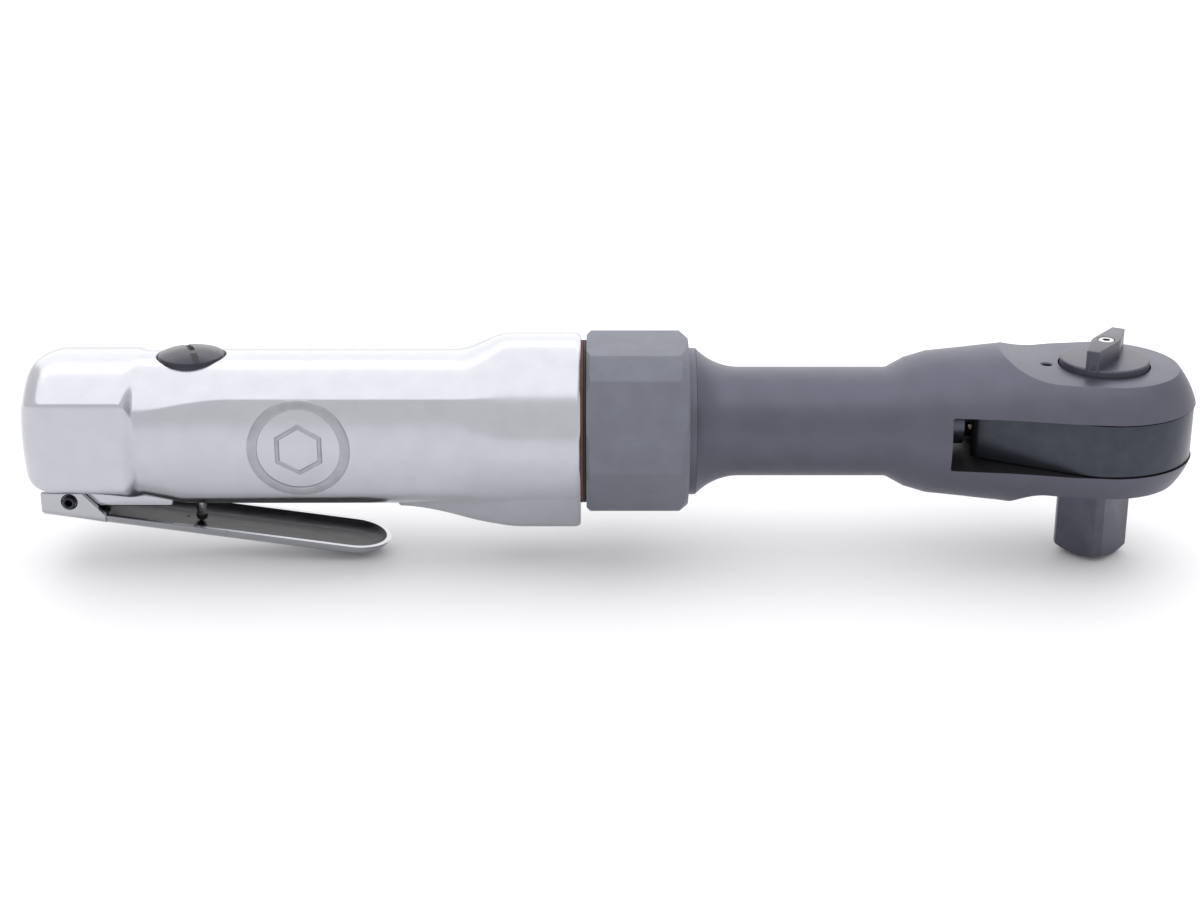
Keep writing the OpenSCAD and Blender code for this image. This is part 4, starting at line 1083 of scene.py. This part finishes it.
def make_stage():
    """White floor, soft light from above and a camera above the left side."""
    floor_z = CAD_BOX[0][2] - 0.0002
    bm = bmesh.new()
    bmesh.ops.create_grid(bm, x_segments=1, y_segments=1, size=3)
    bmesh.ops.translate(bm, verts=bm.verts, vec=(TOOL_MIDDLE, 0, floor_z))
    floor = bpy.data.objects.new("floor", bpy.data.meshes.new("floor"))
    bm.to_mesh(floor.data)
    bm.free()
    bpy.context.scene.collection.objects.link(floor)
    floor.data.materials.append(plain_material("studio_floor", (0.85, 0.85, 0.86), 0.7))
    world = bpy.data.worlds.new("studio")
    bpy.context.scene.world = world
    world.use_nodes = True
    sky = world.node_tree.nodes["Background"].inputs
    sky["Color"].default_value, sky["Strength"].default_value = (1, 1, 1, 1), 0.95
    area_light("light_above", (TOOL_MIDDLE, 0.15, 0.65), (TOOL_MIDDLE, 0.15, 0), (1.5, 1.4), 5)
    area_light("light_behind", (TOOL_MIDDLE, 0.95, 0.5), (TOOL_MIDDLE, 0, 0.2), (1.5, 0.9), 3.2)
    scene = bpy.context.scene
    scene.view_settings.view_transform = "Standard"
    elevation, distance, drop = radians(21), 0.5, 0.00653
    up = Vector((0, sin(elevation), cos(elevation)))
    ahead = Vector((0, cos(elevation), -sin(elevation)))
    lens = bpy.data.cameras.new("camera")
    camera = bpy.data.objects.new("camera", lens)
    scene.collection.objects.link(camera)
    camera.location = Vector((TOOL_MIDDLE, 0, 0)) - up * drop - ahead * distance
    camera.rotation_euler = (pi / 2 - elevation, 0, 0)
    lens.sensor_width, lens.lens = 36, 66.63
    scene.camera = camera


# ---------------------------------------------------------------- operators and panel

def operator(name, label, text, *steps):
    """An operator class that runs the steps in order; a step that fails stops the script."""
    def execute(self, context):
        for step in steps:
            step()
        return {"FINISHED"}
    return type("RATCHET_OT_" + name, (bpy.types.Operator,), {
        "__doc__": text, "bl_idname": "ratchet." + name, "bl_label": label, "execute": execute})


OPERATORS = [
    operator("housing", "Motor housing", "Build the polished motor housing", make_housing),
    operator("medallions", "Medallions", "Build the plain ring on each side panel", make_medallions),
    operator("inlet", "Air inlet", "Build the inlet bushing", make_inlet),
    operator("throttle", "Throttle", "Build the regulator plug, the valve stem and its spring", make_plug,
             make_stem, make_spring),
    operator("lever", "Lever", "Build the throttle lever and its pin", make_lever),
    operator("nut", "Clamp nut", "Build the clamp nut and the seam rings", make_nut),
    operator("head", "Ratchet housing", "Build the ratchet housing", make_head),
    operator("yoke", "Yoke", "Build the yoke", make_yoke),
    operator("anvil", "Square drive", "Build the anvil with its square drive and ball", make_anvil),
    operator("knob", "Reverse knob", "Build the reverse knob and its screw", make_knob),
    operator("inside", "Inner pieces", "Give the inner pieces their finishes", finish_kept),
    operator("stage", "Studio", "Build the floor, the lights and the camera", make_stage),
]


class RATCHET_PT_panel(bpy.types.Panel):
    """The pieces of the ratchet wrench"""
    bl_idname = "RATCHET_PT_panel"
    bl_label = "Air Ratchet"
    bl_space_type = "VIEW_3D"
    bl_region_type = "UI"
    bl_category = "Air Ratchet"

    def draw(self, context):
        for name in ("grip", "head", "finish"):
            box = self.layout.box()
            box.label(text=name.capitalize())
            group = settings(name)
            for key in group.bl_rna.properties.keys():
                if key not in ("rna_type", "name"):
                    box.prop(group, key)
        for kind in OPERATORS:
            self.layout.operator(kind.bl_idname)


GROUPS = {"grip": GripSettings, "head": HeadSettings, "finish": FinishSettings}
CLASSES = [*GROUPS.values(), *OPERATORS, RATCHET_PT_panel]


def register():
    for kind in CLASSES:
        bpy.utils.register_class(kind)
    for name, group in GROUPS.items():
        setattr(bpy.types.Scene, "ratchet_" + name, bpy.props.PointerProperty(type=group))


def unregister():
    for name in GROUPS:
        delattr(bpy.types.Scene, "ratchet_" + name)
    for kind in reversed(CLASSES):
        bpy.utils.unregister_class(kind)


def main():
    register()
    for kind in OPERATORS:
        group, action = kind.bl_idname.split(".")
        getattr(getattr(bpy.ops, group), action)()


if __name__ == "__main__":
    main()
